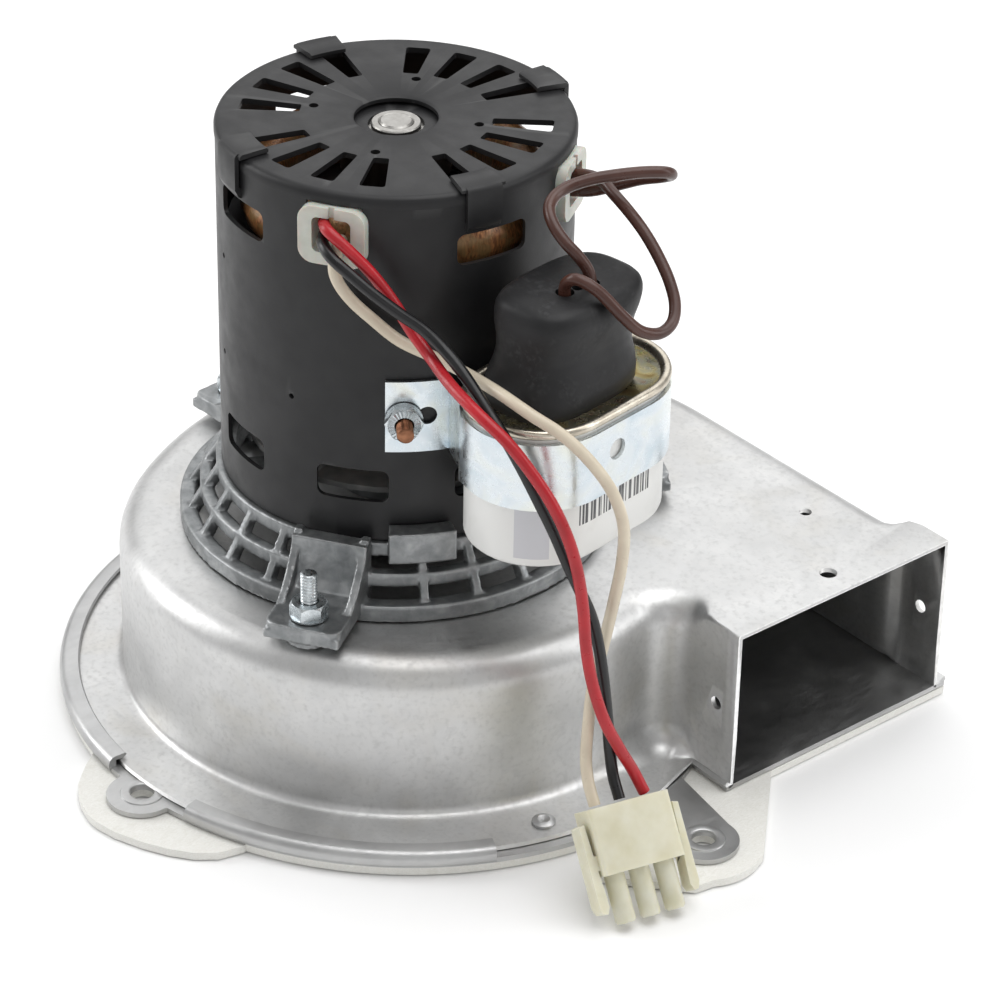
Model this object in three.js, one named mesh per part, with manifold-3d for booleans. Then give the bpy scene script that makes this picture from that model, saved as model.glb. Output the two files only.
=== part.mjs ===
// Combustion fan: a draft inducer blower for a gas furnace.
// A vertical motor stands on a drum-shaped scroll housing, and drives a wheel inside it.
// Millimetres, +Z up along the motor shaft. The shaft axis is x = y = 0 while the pieces
// are made; at the end the whole group is moved so that the origin is under its middle.
import * as THREE from "three";
import { mergeVertices } from "three/addons/utils/BufferGeometryUtils.js";
import Module from "manifold-3d";

const wasm = await Module();
wasm.setup();

const DEG = Math.PI / 180;
const GAP = 0.3; // between pieces that touch

// ---- driving dimensions ----
const GASKET = { thickness: 2, ear: 7 };
const PLATE = { radius: 87.3, thickness: 1.3, inlet: 34, x: 4, y: 2, bottom: GASKET.thickness + GAP };
const HEM = { width: 5, top: 6.4 };
const DRUM = { radius: 71, x: 2.5, y: 2.5, top: 46.2, sheet: 1.2, round: 8 };
const DUCT = { near: 27.5, far: 94.5, flare: 96.7, outlet: 95, cornerRound: 8, squareFrom: 82 };
const DUCT_SCREWS = { radius: 1.6, z: 24, x: 88.5 };
const LIP = { bottom: PLATE.bottom + PLATE.thickness + GAP, thickness: 1.1 };
const MOTOR = { radius: 42, sheet: 1.1, bottom: 62.8, top: 150 };
const CAP = { radius: 42.2, top: 152.5, sheet: 1.4, bore: 9.85 };
const SHAFT = { radius: 3.97, bottom: 14, top: 151.2 };
const BEARING = { radius: 11, bore: 4.06, height: 9 };
const STACK = { outer: 39.6, bore: 21, bottom: 94, top: 126, airGap: 0.5 };
const LEG = { angles: [-57, 63, 183], boltRadius: 61.5, width: 18.5, footBottom: 48.2, footTop: 52.2 };
const STUD = { radius: 2.05, top: 64 };
const NUT = { radius: 4.6, height: 3.9 };
const WHEEL = { radius: 50, bladeDepth: 9, bottom: 8, top: 40, blades: 22 };
const CAN = { x: 62, y: 0.6, turn: 8, width: 33.3, length: 52.2, bottom: 73.6, top: 107.8 };
const BOOT = { top: 135, length: 36, width: 24, footShift: -3, lean: 0.13 };
const STRAP = { bottom: 90, top: 107, earBottom: 87.5, earTop: 106, bolt: 96.4, sheet: 0.9 };
const STRAP_HOLE = { radius: 2.6, y: -2.5, z: 100.2 };
const LEAD = { diameter: 2.8, sides: 8 };
const GROMMET = {
  angles: { leads: -57.6, capacitor: 32.4 }, width: 16, height: 14.4, wall: 3.4, mouth: 12.4,
};
const PLUG = {
  pitch: 6.35, width: 20.6, depth: 9.4, body: 15.5, tube: 11.5, tubeRadius: 2.45, wayRadius: 1.5,
};

const COLOURS = {
  gasket: [0xe9e4d6, 0.95, 0],
  galvanised: [0xb9bbbc, 0.38, 0.9],
  zinc: [0x9aa0a2, 0.5, 0.8],
  brightZinc: [0xc5ced2, 0.25, 1],
  black: [0x1d1e20, 0.5, 0.2],
  steel: [0x9c9fa2, 0.35, 1],
  lamination: [0x55585c, 0.5, 0.8],
  copper: [0x9c5a2c, 0.4, 0.7],
  aluminium: [0xc9cbcc, 0.4, 0.9],
  rubber: [0x2b2c2e, 0.7, 0],
  can: [0xe4e3de, 0.45, 0.3],
  champagne: [0xcbbd8f, 0.3, 0.8],
  nylon: [0xe6e0c4, 0.5, 0],
  white: [0xe8e0cc, 0.5, 0],
  red: [0xc0202a, 0.45, 0],
  blackWire: [0x151515, 0.45, 0],
  brown: [0x5d3f35, 0.45, 0],
  brass: [0xb59a55, 0.35, 1],
};

// ---- from three.js geometry to solids and back ----

function solid(geometry) {
  const bare = geometry.index ? geometry.toNonIndexed() : geometry.clone();
  for (const name of Object.keys(bare.attributes)) {
    if (name !== "position") bare.deleteAttribute(name);
  }
  const merged = mergeVertices(bare, 1e-4);
  const vertProperties = new Float32Array(merged.attributes.position.array);
  const triVerts = new Uint32Array(merged.index.array);
  const made = new wasm.Manifold(new wasm.Mesh({ numProp: 3, vertProperties, triVerts }));
  if (made.volume() >= 0) return made;
  for (let i = 0; i < triVerts.length; i += 3) {
    [triVerts[i], triVerts[i + 1]] = [triVerts[i + 1], triVerts[i]];
  }
  return new wasm.Manifold(new wasm.Mesh({ numProp: 3, vertProperties, triVerts }));
}

function geometryOf(made) {
  const { numProp, vertProperties, triVerts } = made.getMesh();
  const positions = new Float32Array((vertProperties.length / numProp) * 3);
  for (let i = 0; i < positions.length / 3; i++) {
    positions.set(vertProperties.subarray(i * numProp, i * numProp + 3), i * 3);
  }
  const geometry = new THREE.BufferGeometry();
  geometry.setAttribute("position", new THREE.BufferAttribute(positions, 3));
  geometry.setIndex(new THREE.BufferAttribute(new Uint32Array(triVerts), 1));
  geometry.computeVertexNormals();
  return geometry;
}

const union = (first, ...others) => others.reduce((sum, next) => sum.add(next), first);
const cut = (body, ...tools) => tools.reduce((left, tool) => left.subtract(tool), body);

// ---- basic forms, all about the Z axis ----

// A turned ring: outline points are [radius, height], in order round the section.
function turned(outline, segments = 48) {
  const points = outline.map(([radius, height]) => new THREE.Vector2(radius, height));
  points.push(points[0].clone());
  return solid(new THREE.LatheGeometry(points, segments).rotateX(Math.PI / 2));
}

// A turned body that closes on the axis.
function turnedSolid(outline, segments = 32) {
  const points = outline.map(([radius, height]) => new THREE.Vector2(radius, height));
  return solid(new THREE.LatheGeometry(points, segments).rotateX(Math.PI / 2));
}

function ring(inner, outer, bottom, top, segments = 48) {
  return turned([[inner, bottom], [outer, bottom], [outer, top], [inner, top]], segments);
}

function disc(radius, bottom, top, x = 0, y = 0, segments = 32) {
  const geometry = new THREE.CylinderGeometry(radius, radius, top - bottom, segments);
  return solid(geometry.rotateX(Math.PI / 2).translate(x, y, (bottom + top) / 2));
}

function block(x0, x1, y0, y1, z0, z1, angle = 0) {
  const geometry = new THREE.BoxGeometry(x1 - x0, y1 - y0, z1 - z0);
  geometry.translate((x0 + x1) / 2, (y0 + y1) / 2, (z0 + z1) / 2);
  return solid(geometry.rotateZ(angle * DEG));
}

function slab(shape, bottom, top, curveSegments = 8) {
  const depth = top - bottom;
  const geometry = new THREE.ExtrudeGeometry(shape, { depth, bevelEnabled: false, curveSegments });
  return solid(geometry.translate(0, 0, bottom));
}

// Part of a ring between two angles in degrees.
function sector(inner, outer, from, to, bottom, top, curveSegments = 8) {
  const shape = new THREE.Shape();
  shape.absarc(0, 0, outer, from * DEG, to * DEG, false);
  shape.absarc(0, 0, inner, to * DEG, from * DEG, true);
  return slab(shape, bottom, top, curveSegments);
}

const polar = (radius, angle) => [radius * Math.cos(angle * DEG), radius * Math.sin(angle * DEG)];

function roundedRect(width, height, radius) {
  const x = width / 2;
  const y = height / 2;
  const shape = new THREE.Shape();
  shape.absarc(x - radius, y - radius, radius, 0, 90 * DEG, false);
  shape.absarc(-x + radius, y - radius, radius, 90 * DEG, 180 * DEG, false);
  shape.absarc(-x + radius, -y + radius, radius, 180 * DEG, 270 * DEG, false);
  shape.absarc(x - radius, -y + radius, radius, 270 * DEG, 360 * DEG, false);
  return shape;
}

// A rounded bar that runs outwards through a wall: its section faces along the radius.
function radialPlug(width, height, radius, inner, outer, angle, z, curveSegments = 1) {
  const geometry = new THREE.ExtrudeGeometry(roundedRect(width, height, radius), {
    depth: outer - inner, bevelEnabled: false, curveSegments,
  });
  geometry.rotateY(Math.PI / 2).rotateX(Math.PI / 2);
  return solid(geometry.translate(inner, 0, z).rotateZ(angle * DEG));
}

const group = new THREE.Group();
const motorParts = new THREE.Group();
const capacitorParts = new THREE.Group();
const plugParts = new THREE.Group();
group.add(motorParts, capacitorParts, plugParts);

function add(parent, name, made, [color, roughness, metalness]) {
  const material = new THREE.MeshStandardMaterial({ color, roughness, metalness });
  const mesh = new THREE.Mesh(geometryOf(made), material);
  mesh.name = name;
  parent.add(mesh);
  return mesh;
}

// ---- scroll housing, back plate and gasket ----

// Outline of the drum and its duct, moved in by an offset, as the sheet thickness needs.
function scrollShape(inset, outlet) {
  const radius = DRUM.radius - inset;
  const near = DUCT.near + inset;
  const far = DUCT.far - inset;
  const flare = DUCT.flare - inset;
  const round = DUCT.cornerRound + inset;
  const dy = near - round - DRUM.y;
  const dx = Math.sqrt((radius + round) ** 2 - dy ** 2);
  const meet = Math.atan2(dy, dx);
  const left = [-71.3 + inset, 5];
  const end = [10, far];
  const start = 150 * DEG;
  const handle = 13.5;
  const startPoint = [DRUM.x - radius * Math.cos(30 * DEG), DRUM.y - radius * Math.sin(30 * DEG)];
  const shape = new THREE.Shape();
  shape.moveTo(outlet, near);
  shape.lineTo(DRUM.x + dx, near);
  shape.absarc(DRUM.x + dx, near - round, round, 90 * DEG, 180 * DEG + meet, false);
  shape.absarc(DRUM.x, DRUM.y, radius, meet, -start, true);
  shape.bezierCurveTo(
    startPoint[0] - handle * Math.sin(30 * DEG), startPoint[1] + handle * Math.cos(30 * DEG),
    left[0], left[1] - handle, left[0], left[1],
  );
  shape.bezierCurveTo(
    left[0], left[1] + 0.55 * (end[1] - left[1]),
    end[0] - 0.55 * (end[0] - left[0]), end[1], end[0], end[1],
  );
  shape.lineTo(78, far);
  shape.lineTo(82, flare);
  shape.lineTo(outlet, flare);
  shape.closePath();
  return shape;
}

// The formed shell of the drum: walls upright, top edge rounded, open underneath.
// The mouth of the duct keeps square corners.
function scrollForm(inset, bottom, outlet) {
  const round = DRUM.round - inset;
  const top = DRUM.top - inset;
  const geometry = new THREE.ExtrudeGeometry(scrollShape(inset + round, outlet - round), {
    depth: top - round,
    bevelSize: round,
    bevelThickness: round,
    bevelSegments: 2,
    curveSegments: 10,
  });
  const rounded = cut(solid(geometry), block(-200, 200, -200, 200, -50, bottom));
  const beforeMouth = block(-200, DUCT.squareFrom, -200, 200, bottom - 1, top + 1);
  const mouth = cut(slab(scrollShape(inset, outlet), bottom, top, 3), beforeMouth);
  return union(rounded, mouth);
}

function plateShape(radius) {
  const shape = new THREE.Shape();
  shape.moveTo(DUCT.outlet, 26.5);
  shape.lineTo(DUCT.outlet, 99.5);
  shape.lineTo(20, 99.5);
  shape.quadraticCurveTo(-40, 100, -66, 54);
  shape.absarc(PLATE.x, PLATE.y, radius, 146 * DEG, 366 * DEG, false);
  shape.lineTo(82.5, 26.5);
  shape.closePath();
  return shape;
}

const EARS = [
  { angle: -85.5, reach: 86.8, tip: 8.5, base: 17 },
  { angle: 3.5, reach: 103, tip: 8.5, base: 16.5 },
  { angle: 138, reach: 90, tip: 8.5, base: 17 },
];

// A tapered ear: from its wide foot inside the plate to a round tip around its hole.
function earShape(ear, grow) {
  const shape = new THREE.Shape();
  const tip = ear.tip + grow;
  shape.moveTo(70, -ear.base - grow);
  shape.lineTo(ear.reach, -tip);
  shape.absarc(ear.reach, 0, tip, -90 * DEG, 90 * DEG, false);
  shape.lineTo(70, ear.base + grow);
  shape.closePath();
  return shape;
}

function ear(ear_, grow, bottom, top) {
  const flat = slab(earShape(ear_, grow), bottom, top, 6);
  return flat.rotate([0, 0, ear_.angle]).translate([PLATE.x, PLATE.y, 0]);
}

function earHole(ear_, radius) {
  const [x, y] = polar(ear_.reach, ear_.angle);
  return disc(radius, -10, 20, PLATE.x + x, PLATE.y + y, 20);
}

// The gasket's broad lobe round the first ear.
const GASKET_LOBE = [
  [0, -60], [-14, -70], [-11.5, -83.3], [-5.7, -90.7], [-0.2, -95.3], [7.1, -98], [12.5, -98.4],
  [17.8, -97.4], [32.3, -90.6], [45.5, -75.2], [40, -60],
];

// The gasket's corner between the second ear and the mouth of the duct.
const GASKET_CORNER = [
  [70, 20], [88, 47], [95, 41], [117, 18.3], [119.3, 15], [119.6, 6], [118, -4], [100, -20],
];

function makeGasket() {
  const top = GASKET.thickness;
  const patches = [GASKET_LOBE, GASKET_CORNER].map((points) =>
    slab(new THREE.Shape(points.map(([x, y]) => new THREE.Vector2(x, y))), 0, top));
  const sheet = slab(plateShape(PLATE.radius - 1), 0, top, 14);
  const lobes = EARS.map((one) => ear(one, GASKET.ear - 1.5, 0, top));
  const holes = EARS.map((one) => earHole(one, 3.4));
  return cut(union(sheet, ...patches, ...lobes), disc(PLATE.inlet + 4, -1, 5, 0, 0, 32), ...holes);
}

function makePlate() {
  const bottom = PLATE.bottom;
  const top = bottom + PLATE.thickness;
  const sheet = slab(plateShape(PLATE.radius - 0.5), bottom, top, 14);
  const hemInner = PLATE.radius - HEM.width;
  const hem = [[146, 266], [284, 335]].map(([from, to]) =>
    sector(hemInner, PLATE.radius, from, to, top - 0.2, HEM.top, 9).translate([PLATE.x, PLATE.y, 0]));
  const hemCut = union(
    slab(scrollShape(-6, 140), top, 60, 8),
    sector(hemInner - 1, hemInner + 2.6, 0, 359, top, LIP.bottom + LIP.thickness + GAP, 24)
      .translate([PLATE.x, PLATE.y, 0]),
  );
  const ears = EARS.map((one) => ear(one, 0, bottom, top));
  const holes = EARS.map((one) => earHole(one, 2.9));
  const rims = hem.map((one) => cut(one, hemCut));
  return cut(union(sheet, ...ears, ...rims), disc(PLATE.inlet, -1, 10, 0, 0, 32), ...holes);
}

// Room for the three leg bolts, between two heights.
function boltHoles(bottom, top, segments) {
  return LEG.angles.map((angle) => {
    const [x, y] = polar(LEG.boltRadius, angle);
    return disc(STUD.radius + GAP, bottom, top, x, y, segments);
  });
}

// One drilling through both sides of the duct.
function sideScrewHoles() {
  const { radius, x, z } = DUCT_SCREWS;
  return disc(radius, -120, 0, 0, 0, 12).rotate([90, 0, 0]).translate([x, 0, z]);
}

function makeHousing() {
  const outer = scrollForm(0, LIP.bottom, DUCT.outlet + 20);
  const inner = scrollForm(DRUM.sheet, LIP.bottom - 1, DUCT.outlet + 22);
  const lipEdge = PLATE.radius - HEM.width + 2;
  const lip = cut(
    slab(plateShape(lipEdge), LIP.bottom, LIP.bottom + LIP.thickness, 12),
    slab(scrollShape(0.6, 130), LIP.bottom - 1, LIP.bottom + 5, 10),
  );
  const shell = cut(outer, inner, block(DUCT.outlet, 200, -200, 200, -10, 80));
  const bolts = boltHoles(DRUM.top - 5, DRUM.top + 2, 16);
  const topHoles = [disc(2.2, 40, 50, 87.7, 63.1, 16), disc(1.6, 40, 50, 64.1, 77.8, 12)];
  return cut(union(shell, lip), disc(9, 30, 60), ...bolts, ...topHoles, sideScrewHoles());
}

const RIVETS = { angles: [-15, 168], circle: 79, radius: 2.8, height: 0.9 };

function makeRivet(angle) {
  const [x, y] = polar(RIVETS.circle, angle);
  const bottom = LIP.bottom + LIP.thickness + GAP;
  return disc(RIVETS.radius, bottom, bottom + RIVETS.height, PLATE.x + x, PLATE.y + y, 20);
}

add(group, "gasket", makeGasket(), COLOURS.gasket);
add(group, "back_plate", makePlate(), COLOURS.galvanised);
add(group, "scroll_housing", makeHousing(), COLOURS.galvanised);
RIVETS.angles.forEach((angle, i) => add(group, `rivet_${i + 1}`, makeRivet(angle), COLOURS.galvanised));

// ---- die-cast motor bracket, with its studs and nuts ----

const BRACKET = {
  outer: { inner: 48.6, outer: 52.3, bottom: 46.6, top: 50.6 },
  middle: { inner: 44.6, outer: 46.6, bottom: 53.8, top: 56.4 },
  upper: { inner: 38, outer: 43.4, bottom: 59, top: MOTOR.bottom - GAP },
};

function bracketRing({ inner, outer, bottom, top }) {
  return ring(inner, outer, bottom, top, 32);
}

// A thin rib that slopes from the upper ring out to the lowest one.
function bracketRib(angle) {
  const section = new THREE.Shape();
  section.moveTo(42, 59.2);
  section.lineTo(49.2, 46.8);
  section.lineTo(51.6, 46.8);
  section.lineTo(51.2, 49.8);
  section.lineTo(43.2, 62);
  section.lineTo(42, 62);
  section.closePath();
  const geometry = new THREE.ExtrudeGeometry(section, { depth: 1.8, bevelEnabled: false });
  geometry.translate(0, 0, -0.9).rotateX(Math.PI / 2);
  return solid(geometry.rotateZ(angle * DEG));
}

// A leg: curved back web, two side wings, foot plate and the boss under it.
function bracketLeg(angle) {
  const half = LEG.width / 2;
  const wing = new THREE.Shape();
  wing.moveTo(43.8, 65.8);
  wing.lineTo(46, 65.8);
  wing.quadraticCurveTo(49, 54, 67.5, 50.5);
  wing.lineTo(67.5, LEG.footBottom);
  wing.lineTo(43.8, LEG.footBottom);
  wing.closePath();
  const wings = [-half, half - 2].map((y) => {
    const geometry = new THREE.ExtrudeGeometry(wing, { depth: 2, bevelEnabled: false, curveSegments: 3 });
    return solid(geometry.rotateX(Math.PI / 2).translate(0, y + 2, 0).rotateZ(angle * DEG));
  });
  const web = sector(43.8, 46, angle - 12.4, angle + 12.4, LEG.footBottom, 64.5, 3);
  const foot = block(44.5, 67.5, -half, half, LEG.footBottom, LEG.footTop, angle);
  const boss = disc(5.4, DRUM.top + GAP, LEG.footBottom + 1, ...polar(LEG.boltRadius, angle), 16);
  return union(web, foot, boss, ...wings);
}

function makeBracket() {
  const rings = [BRACKET.outer, BRACKET.middle, BRACKET.upper].map(bracketRing);
  const ribAngles = [];
  for (let angle = 0; angle < 360; angle += 15) {
    const nearLeg = LEG.angles.some((leg) => Math.abs(((angle - leg + 540) % 360) - 180) < 14);
    if (!nearLeg) ribAngles.push(angle);
  }
  const spigot = ring(38.2, MOTOR.radius - MOTOR.sheet - GAP, 61.5, 66, 36);
  const hub = ring(BEARING.radius + GAP, 14.5, 56, 70, 24);
  const hubFloor = ring(5.2, 14.5, 56, 58.2, 24);
  const arms = [3, 123, 243].map((angle) => block(13, 39.5, -4, 4, 59, 62, angle));
  const lug = sector(42.2, 47.5, -40, -20.3, 59.4, MOTOR.bottom + 4.8, 4);
  const shellClearance = ring(30, MOTOR.radius + GAP, MOTOR.bottom - GAP, 70, 36);
  const outside = cut(union(lug, ...LEG.angles.map(bracketLeg)), shellClearance);
  const ribs = ribAngles.map(bracketRib);
  return cut(union(...rings, spigot, hub, hubFloor, ...arms, ...ribs, outside), ...boltHoles(40, 70, 12));
}

function hexNut(x, y, bottom, bore, radius, height) {
  const hex = disc(radius, bottom, bottom + height, x, y, 6);
  const washer = disc(radius + 0.5, bottom, bottom + 0.9, x, y, 24);
  return cut(union(hex, washer), disc(bore, bottom - 1, bottom + height + 1, x, y, 16));
}

add(group, "motor_bracket", makeBracket(), COLOURS.zinc);
LEG.angles.forEach((angle, i) => {
  const [x, y] = polar(LEG.boltRadius, angle);
  const stud = disc(STUD.radius, DRUM.top - DRUM.sheet, STUD.top, x, y, 16);
  add(group, `bracket_stud_${i + 1}`, stud, COLOURS.brightZinc);
  const nut = hexNut(x, y, LEG.footTop + GAP, STUD.radius + GAP, NUT.radius, NUT.height);
  add(group, `bracket_nut_${i + 1}`, nut, COLOURS.brightZinc);
});

// ---- motor: shell, end cap, stator ----

const CAP_SLOT = { inner: 22.4, outer: 36.6, first: 43.3, pitch: 18.8, perGroup: 4 };
const TAB = { first: -10.8, width: 11.6, head: 14.8, foot: 142.4 };
const WINDOW = {
  upper: { first: -6.5, width: 18.2, height: 7.7, z: 138.1 },
  lower: { first: -7, width: 17.2, height: 8.4, z: 77.3 },
};

function makeShell() {
  const tube = ring(MOTOR.radius - MOTOR.sheet, MOTOR.radius, MOTOR.bottom, MOTOR.top, 36);
  const windows = [];
  for (let i = 0; i < 4; i++) {
    const upper = WINDOW.upper;
    windows.push(radialPlug(upper.width, upper.height, 2.4, 36, 46, upper.first + 90 * i, upper.z));
  }
  for (let i = 0; i < 8; i++) {
    const lower = WINDOW.lower;
    windows.push(radialPlug(lower.width, lower.height, 2.4, 36, 46, lower.first + 45 * i, lower.z));
  }
  const mouths = Object.values(GROMMET.angles).map((angle) =>
    radialPlug(GROMMET.width - 2.6, 30, 2, 36, 46, angle, MOTOR.top - GROMMET.mouth + 15));
  const tabs = [];
  for (let i = 0; i < 4; i++) {
    tabs.push(capTab(TAB.first + 90 * i));
  }
  return union(cut(tube, ...windows, ...mouths), ...tabs);
}

// A tab of the shell, stepped out over the rim of the cap, with a wide head folded onto it.
function capTab(angle) {
  const half = TAB.width / 2;
  const head = TAB.head / 2;
  const outer = CAP.radius + GAP + MOTOR.sheet;
  const inner = CAP.radius + GAP;
  const top = CAP.top + GAP;
  const stepTop = TAB.foot + 1.4;
  const tabTop = top + MOTOR.sheet;
  const shellInside = MOTOR.radius - MOTOR.sheet;
  const step = sector(shellInside, outer, angle - half, angle + half, TAB.foot, stepTop, 3);
  const wall = sector(inner, outer, angle - half, angle + half, TAB.foot + 0.1, tabTop, 3);
  const fold = sector(CAP_SLOT.outer - 1.6, outer, angle - head, angle + head, top, tabTop, 3);
  return union(step, wall, fold);
}

function slotShape() {
  const shape = new THREE.Shape();
  shape.moveTo(CAP_SLOT.inner, -1.8);
  shape.lineTo(CAP_SLOT.outer, -3);
  shape.lineTo(CAP_SLOT.outer, 3);
  shape.lineTo(CAP_SLOT.inner, 1.8);
  shape.closePath();
  return shape;
}

function makeCap() {
  const { radius, top, sheet, bore } = CAP;
  const disk = turned([
    [bore, top - sheet], [radius - 0.9, top - sheet - 0.6], [radius, top - sheet - 0.6],
    [radius, top - 0.8], [radius - 0.8, top], [bore, top],
  ], 40);
  const spigot = ring(38.8, MOTOR.radius - MOTOR.sheet - GAP, 146, top - 1, 32);
  const cup = turned([
    [BEARING.radius + GAP, 139.5], [13, 139.5], [13, top - 1], [BEARING.radius + GAP, top - 1],
  ], 24);
  const slots = [];
  for (let quarter = 0; quarter < 4; quarter++) {
    for (let i = 0; i < CAP_SLOT.perGroup; i++) {
      const angle = CAP_SLOT.first - CAP_SLOT.pitch * i + 90 * quarter;
      slots.push(slab(slotShape(), 140, 160, 2).rotate([0, 0, angle]));
    }
    slots.push(disc(1.15, 140, 160, ...polar(19.7, 38 + 90 * quarter), 12));
  }
  const mouths = Object.values(GROMMET.angles).map((angle) => block(36, 44, -9, 9, 130, 150.2, angle));
  const grommetRoom = cut(union(disk, spigot, cup), ...slots, ...mouths);
  return grommetRoom;
}

function makeStator() {
  const body = ring(STACK.bore + 8, STACK.outer, STACK.bottom, STACK.top, 36);
  const teeth = [];
  for (let i = 0; i < 8; i++) {
    teeth.push(sector(STACK.bore, STACK.bore + 9, i * 45 - 16, i * 45 + 16, STACK.bottom, STACK.top, 3));
  }
  return union(body, ...teeth);
}

function makeWinding(bottom, top) {
  const height = top - bottom;
  return turned([
    [24, bottom], [36, bottom], [38.3, bottom + height * 0.3], [38.3, bottom + height * 0.7],
    [36, top], [24, top], [22.6, top - height * 0.3], [22.6, bottom + height * 0.3],
  ], 32);
}

add(motorParts, "motor_shell", makeShell(), COLOURS.black);
add(motorParts, "end_cap", makeCap(), COLOURS.black);
add(motorParts, "stator_core", makeStator(), COLOURS.lamination);
add(motorParts, "winding_upper", makeWinding(STACK.top + GAP, 143), COLOURS.copper);
add(motorParts, "winding_lower", makeWinding(84, STACK.bottom - GAP), COLOURS.copper);

// ---- turning parts: shaft, rotor, fans, wheel ----

function bearing(bottom) {
  return ring(BEARING.bore, BEARING.radius, bottom, bottom + BEARING.height, 32);
}

function upperBearing() {
  const bottom = 141.4;
  const nose = ring(BEARING.bore, 5.85, bottom + BEARING.height - 0.5, 150.9, 32);
  return union(bearing(bottom), nose);
}

function makeCoolingFan() {
  const plate = turned([[7, 72], [36, 72], [36, 73.4], [10, 73.4], [10, 79], [7, 79]], 32);
  const blades = [];
  for (let i = 0; i < 10; i++) {
    blades.push(block(12, 36, -0.8, 0.8, 73.2, 81.5, i * 36));
  }
  return union(plate, ...blades);
}

function makeSlinger() {
  const bore = SHAFT.radius + GAP;
  return turned([[bore, 49], [26, 49], [26, 50.4], [8, 50.4], [8, 54.6], [bore, 54.6]], 32);
}

function makeWheel() {
  const { radius, bladeDepth, bottom, top, blades } = WHEEL;
  const back = turned([[7.5, top - 1.4], [radius, top - 1.4], [radius, top], [7.5, top]], 36);
  const rim = ring(radius - 3.4, radius, bottom, bottom + 1.6, 36);
  const hub = ring(SHAFT.radius + GAP, 8.2, top - 15, top, 24);
  const made = [];
  for (let i = 0; i < blades; i++) {
    const blade = new THREE.Shape();
    blade.moveTo(radius - bladeDepth, -0.4);
    blade.quadraticCurveTo(radius - 4, -1, radius - 0.5, -5);
    blade.lineTo(radius - 0.4, -3.8);
    blade.quadraticCurveTo(radius - 4, 0.3, radius - bladeDepth, 0.5);
    blade.closePath();
    made.push(slab(blade, bottom + 0.6, top - 0.5, 2).rotate([0, 0, (i * 360) / blades]));
  }
  return cut(union(back, rim, hub, ...made), setScrewHole());
}

const SET_SCREW_Z = 31;

function setScrewHole() {
  const geometry = new THREE.CylinderGeometry(2.3, 2.3, 6, 12).rotateZ(Math.PI / 2);
  return solid(geometry.translate(7.4, 0, SET_SCREW_Z));
}

function makeSetScrew() {
  const geometry = new THREE.CylinderGeometry(2, 2, 7, 12).rotateZ(Math.PI / 2);
  return solid(geometry.translate(8, 0, SET_SCREW_Z));
}

add(motorParts, "shaft", disc(SHAFT.radius, SHAFT.bottom, SHAFT.top, 0, 0, 32), COLOURS.steel);
add(motorParts, "upper_bearing", upperBearing(), COLOURS.steel);
add(motorParts, "lower_bearing", bearing(58.5), COLOURS.steel);
const rotorRadius = STACK.bore - STACK.airGap;
const rotorCore = ring(SHAFT.radius + GAP, rotorRadius, STACK.bottom, STACK.top, 36);
add(motorParts, "rotor_core", rotorCore, COLOURS.lamination);
add(motorParts, "cooling_fan", makeCoolingFan(), COLOURS.aluminium);
add(motorParts, "heat_slinger", makeSlinger(), COLOURS.aluminium);
add(group, "impeller", makeWheel(), COLOURS.galvanised);
add(group, "set_screw", makeSetScrew(), COLOURS.steel);

// ---- capacitor, its boot and strap; local X is the width, local Y the length ----

capacitorParts.position.set(CAN.x, CAN.y, 0);
capacitorParts.rotation.z = CAN.turn * DEG;

function ovalShape(grow) {
  const radius = CAN.width / 2 + grow;
  const half = (CAN.length - CAN.width) / 2;
  const shape = new THREE.Shape();
  shape.absarc(0, half, radius, 0, Math.PI, false);
  shape.absarc(0, -half, radius, Math.PI, 2 * Math.PI, false);
  return shape;
}

function oval(grow, bottom, top) {
  return slab(ovalShape(grow), bottom, top, 9);
}

function makeLid() {
  const bottom = CAN.top + GAP;
  return cut(oval(0.6, bottom, bottom + 2.2), oval(-1.2, bottom + 0.9, bottom + 4));
}

// The boot is a turned form squeezed to an oval: wide foot, waist, rounded top. It leans a
// little, because its foot sits off the middle of the can.
function makeBoot() {
  const bottom = CAN.top + GAP + 0.9 + GAP;
  const half = BOOT.length / 2;
  const profile = [
    [0, bottom], [half, bottom], [half + 0.3, bottom + 5], [half - 1, bottom + 9],
    [half - 2, bottom + 15], [half - 0.4, BOOT.top - 6], [half - 1.6, BOOT.top - 2],
    [half - 5, BOOT.top], [0, BOOT.top],
  ].map(([radius, height]) => new THREE.Vector2(radius, height));
  const geometry = new THREE.LatheGeometry(profile, 28).rotateX(Math.PI / 2);
  geometry.scale(BOOT.width / BOOT.length, 1, 1);
  geometry.translate(0, BOOT.footShift - BOOT.lean * bottom, 0);
  geometry.applyMatrix4(new THREE.Matrix4().makeShear(0, 0, 0, 0, 0, BOOT.lean));
  const holes = BOOT_HOLES.map(([x, y]) => disc(2.1, BOOT.top - 6, BOOT.top + 5, x, y, 12));
  const pockets = TERMINALS.map((y) => block(-1.2, 1.2, y - 3.9, y + 3.9, bottom - 1, bottom + 11));
  return cut(solid(geometry), ...holes, ...pockets);
}

const BOOT_HOLES = [[2.2, -4.1], [3.4, 3.1]];
const TERMINALS = [-12, 7];

function makeTerminal(y) {
  const bottom = CAN.top + GAP + 0.9 + GAP;
  return block(-0.5, 0.5, y - 3.1, y + 3.1, bottom, bottom + 9);
}

function makeStrap() {
  const inner = GAP;
  const outer = GAP + STRAP.sheet;
  const drill = disc(STRAP_HOLE.radius, 0, 30, 0, 0, 16).rotate([0, 90, 0]);
  const side = drill.translate([0, STRAP_HOLE.y, STRAP_HOLE.z]);
  return cut(oval(outer, STRAP.bottom, STRAP.top), oval(inner, STRAP.bottom - 1, STRAP.top + 1), side);
}

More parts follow.
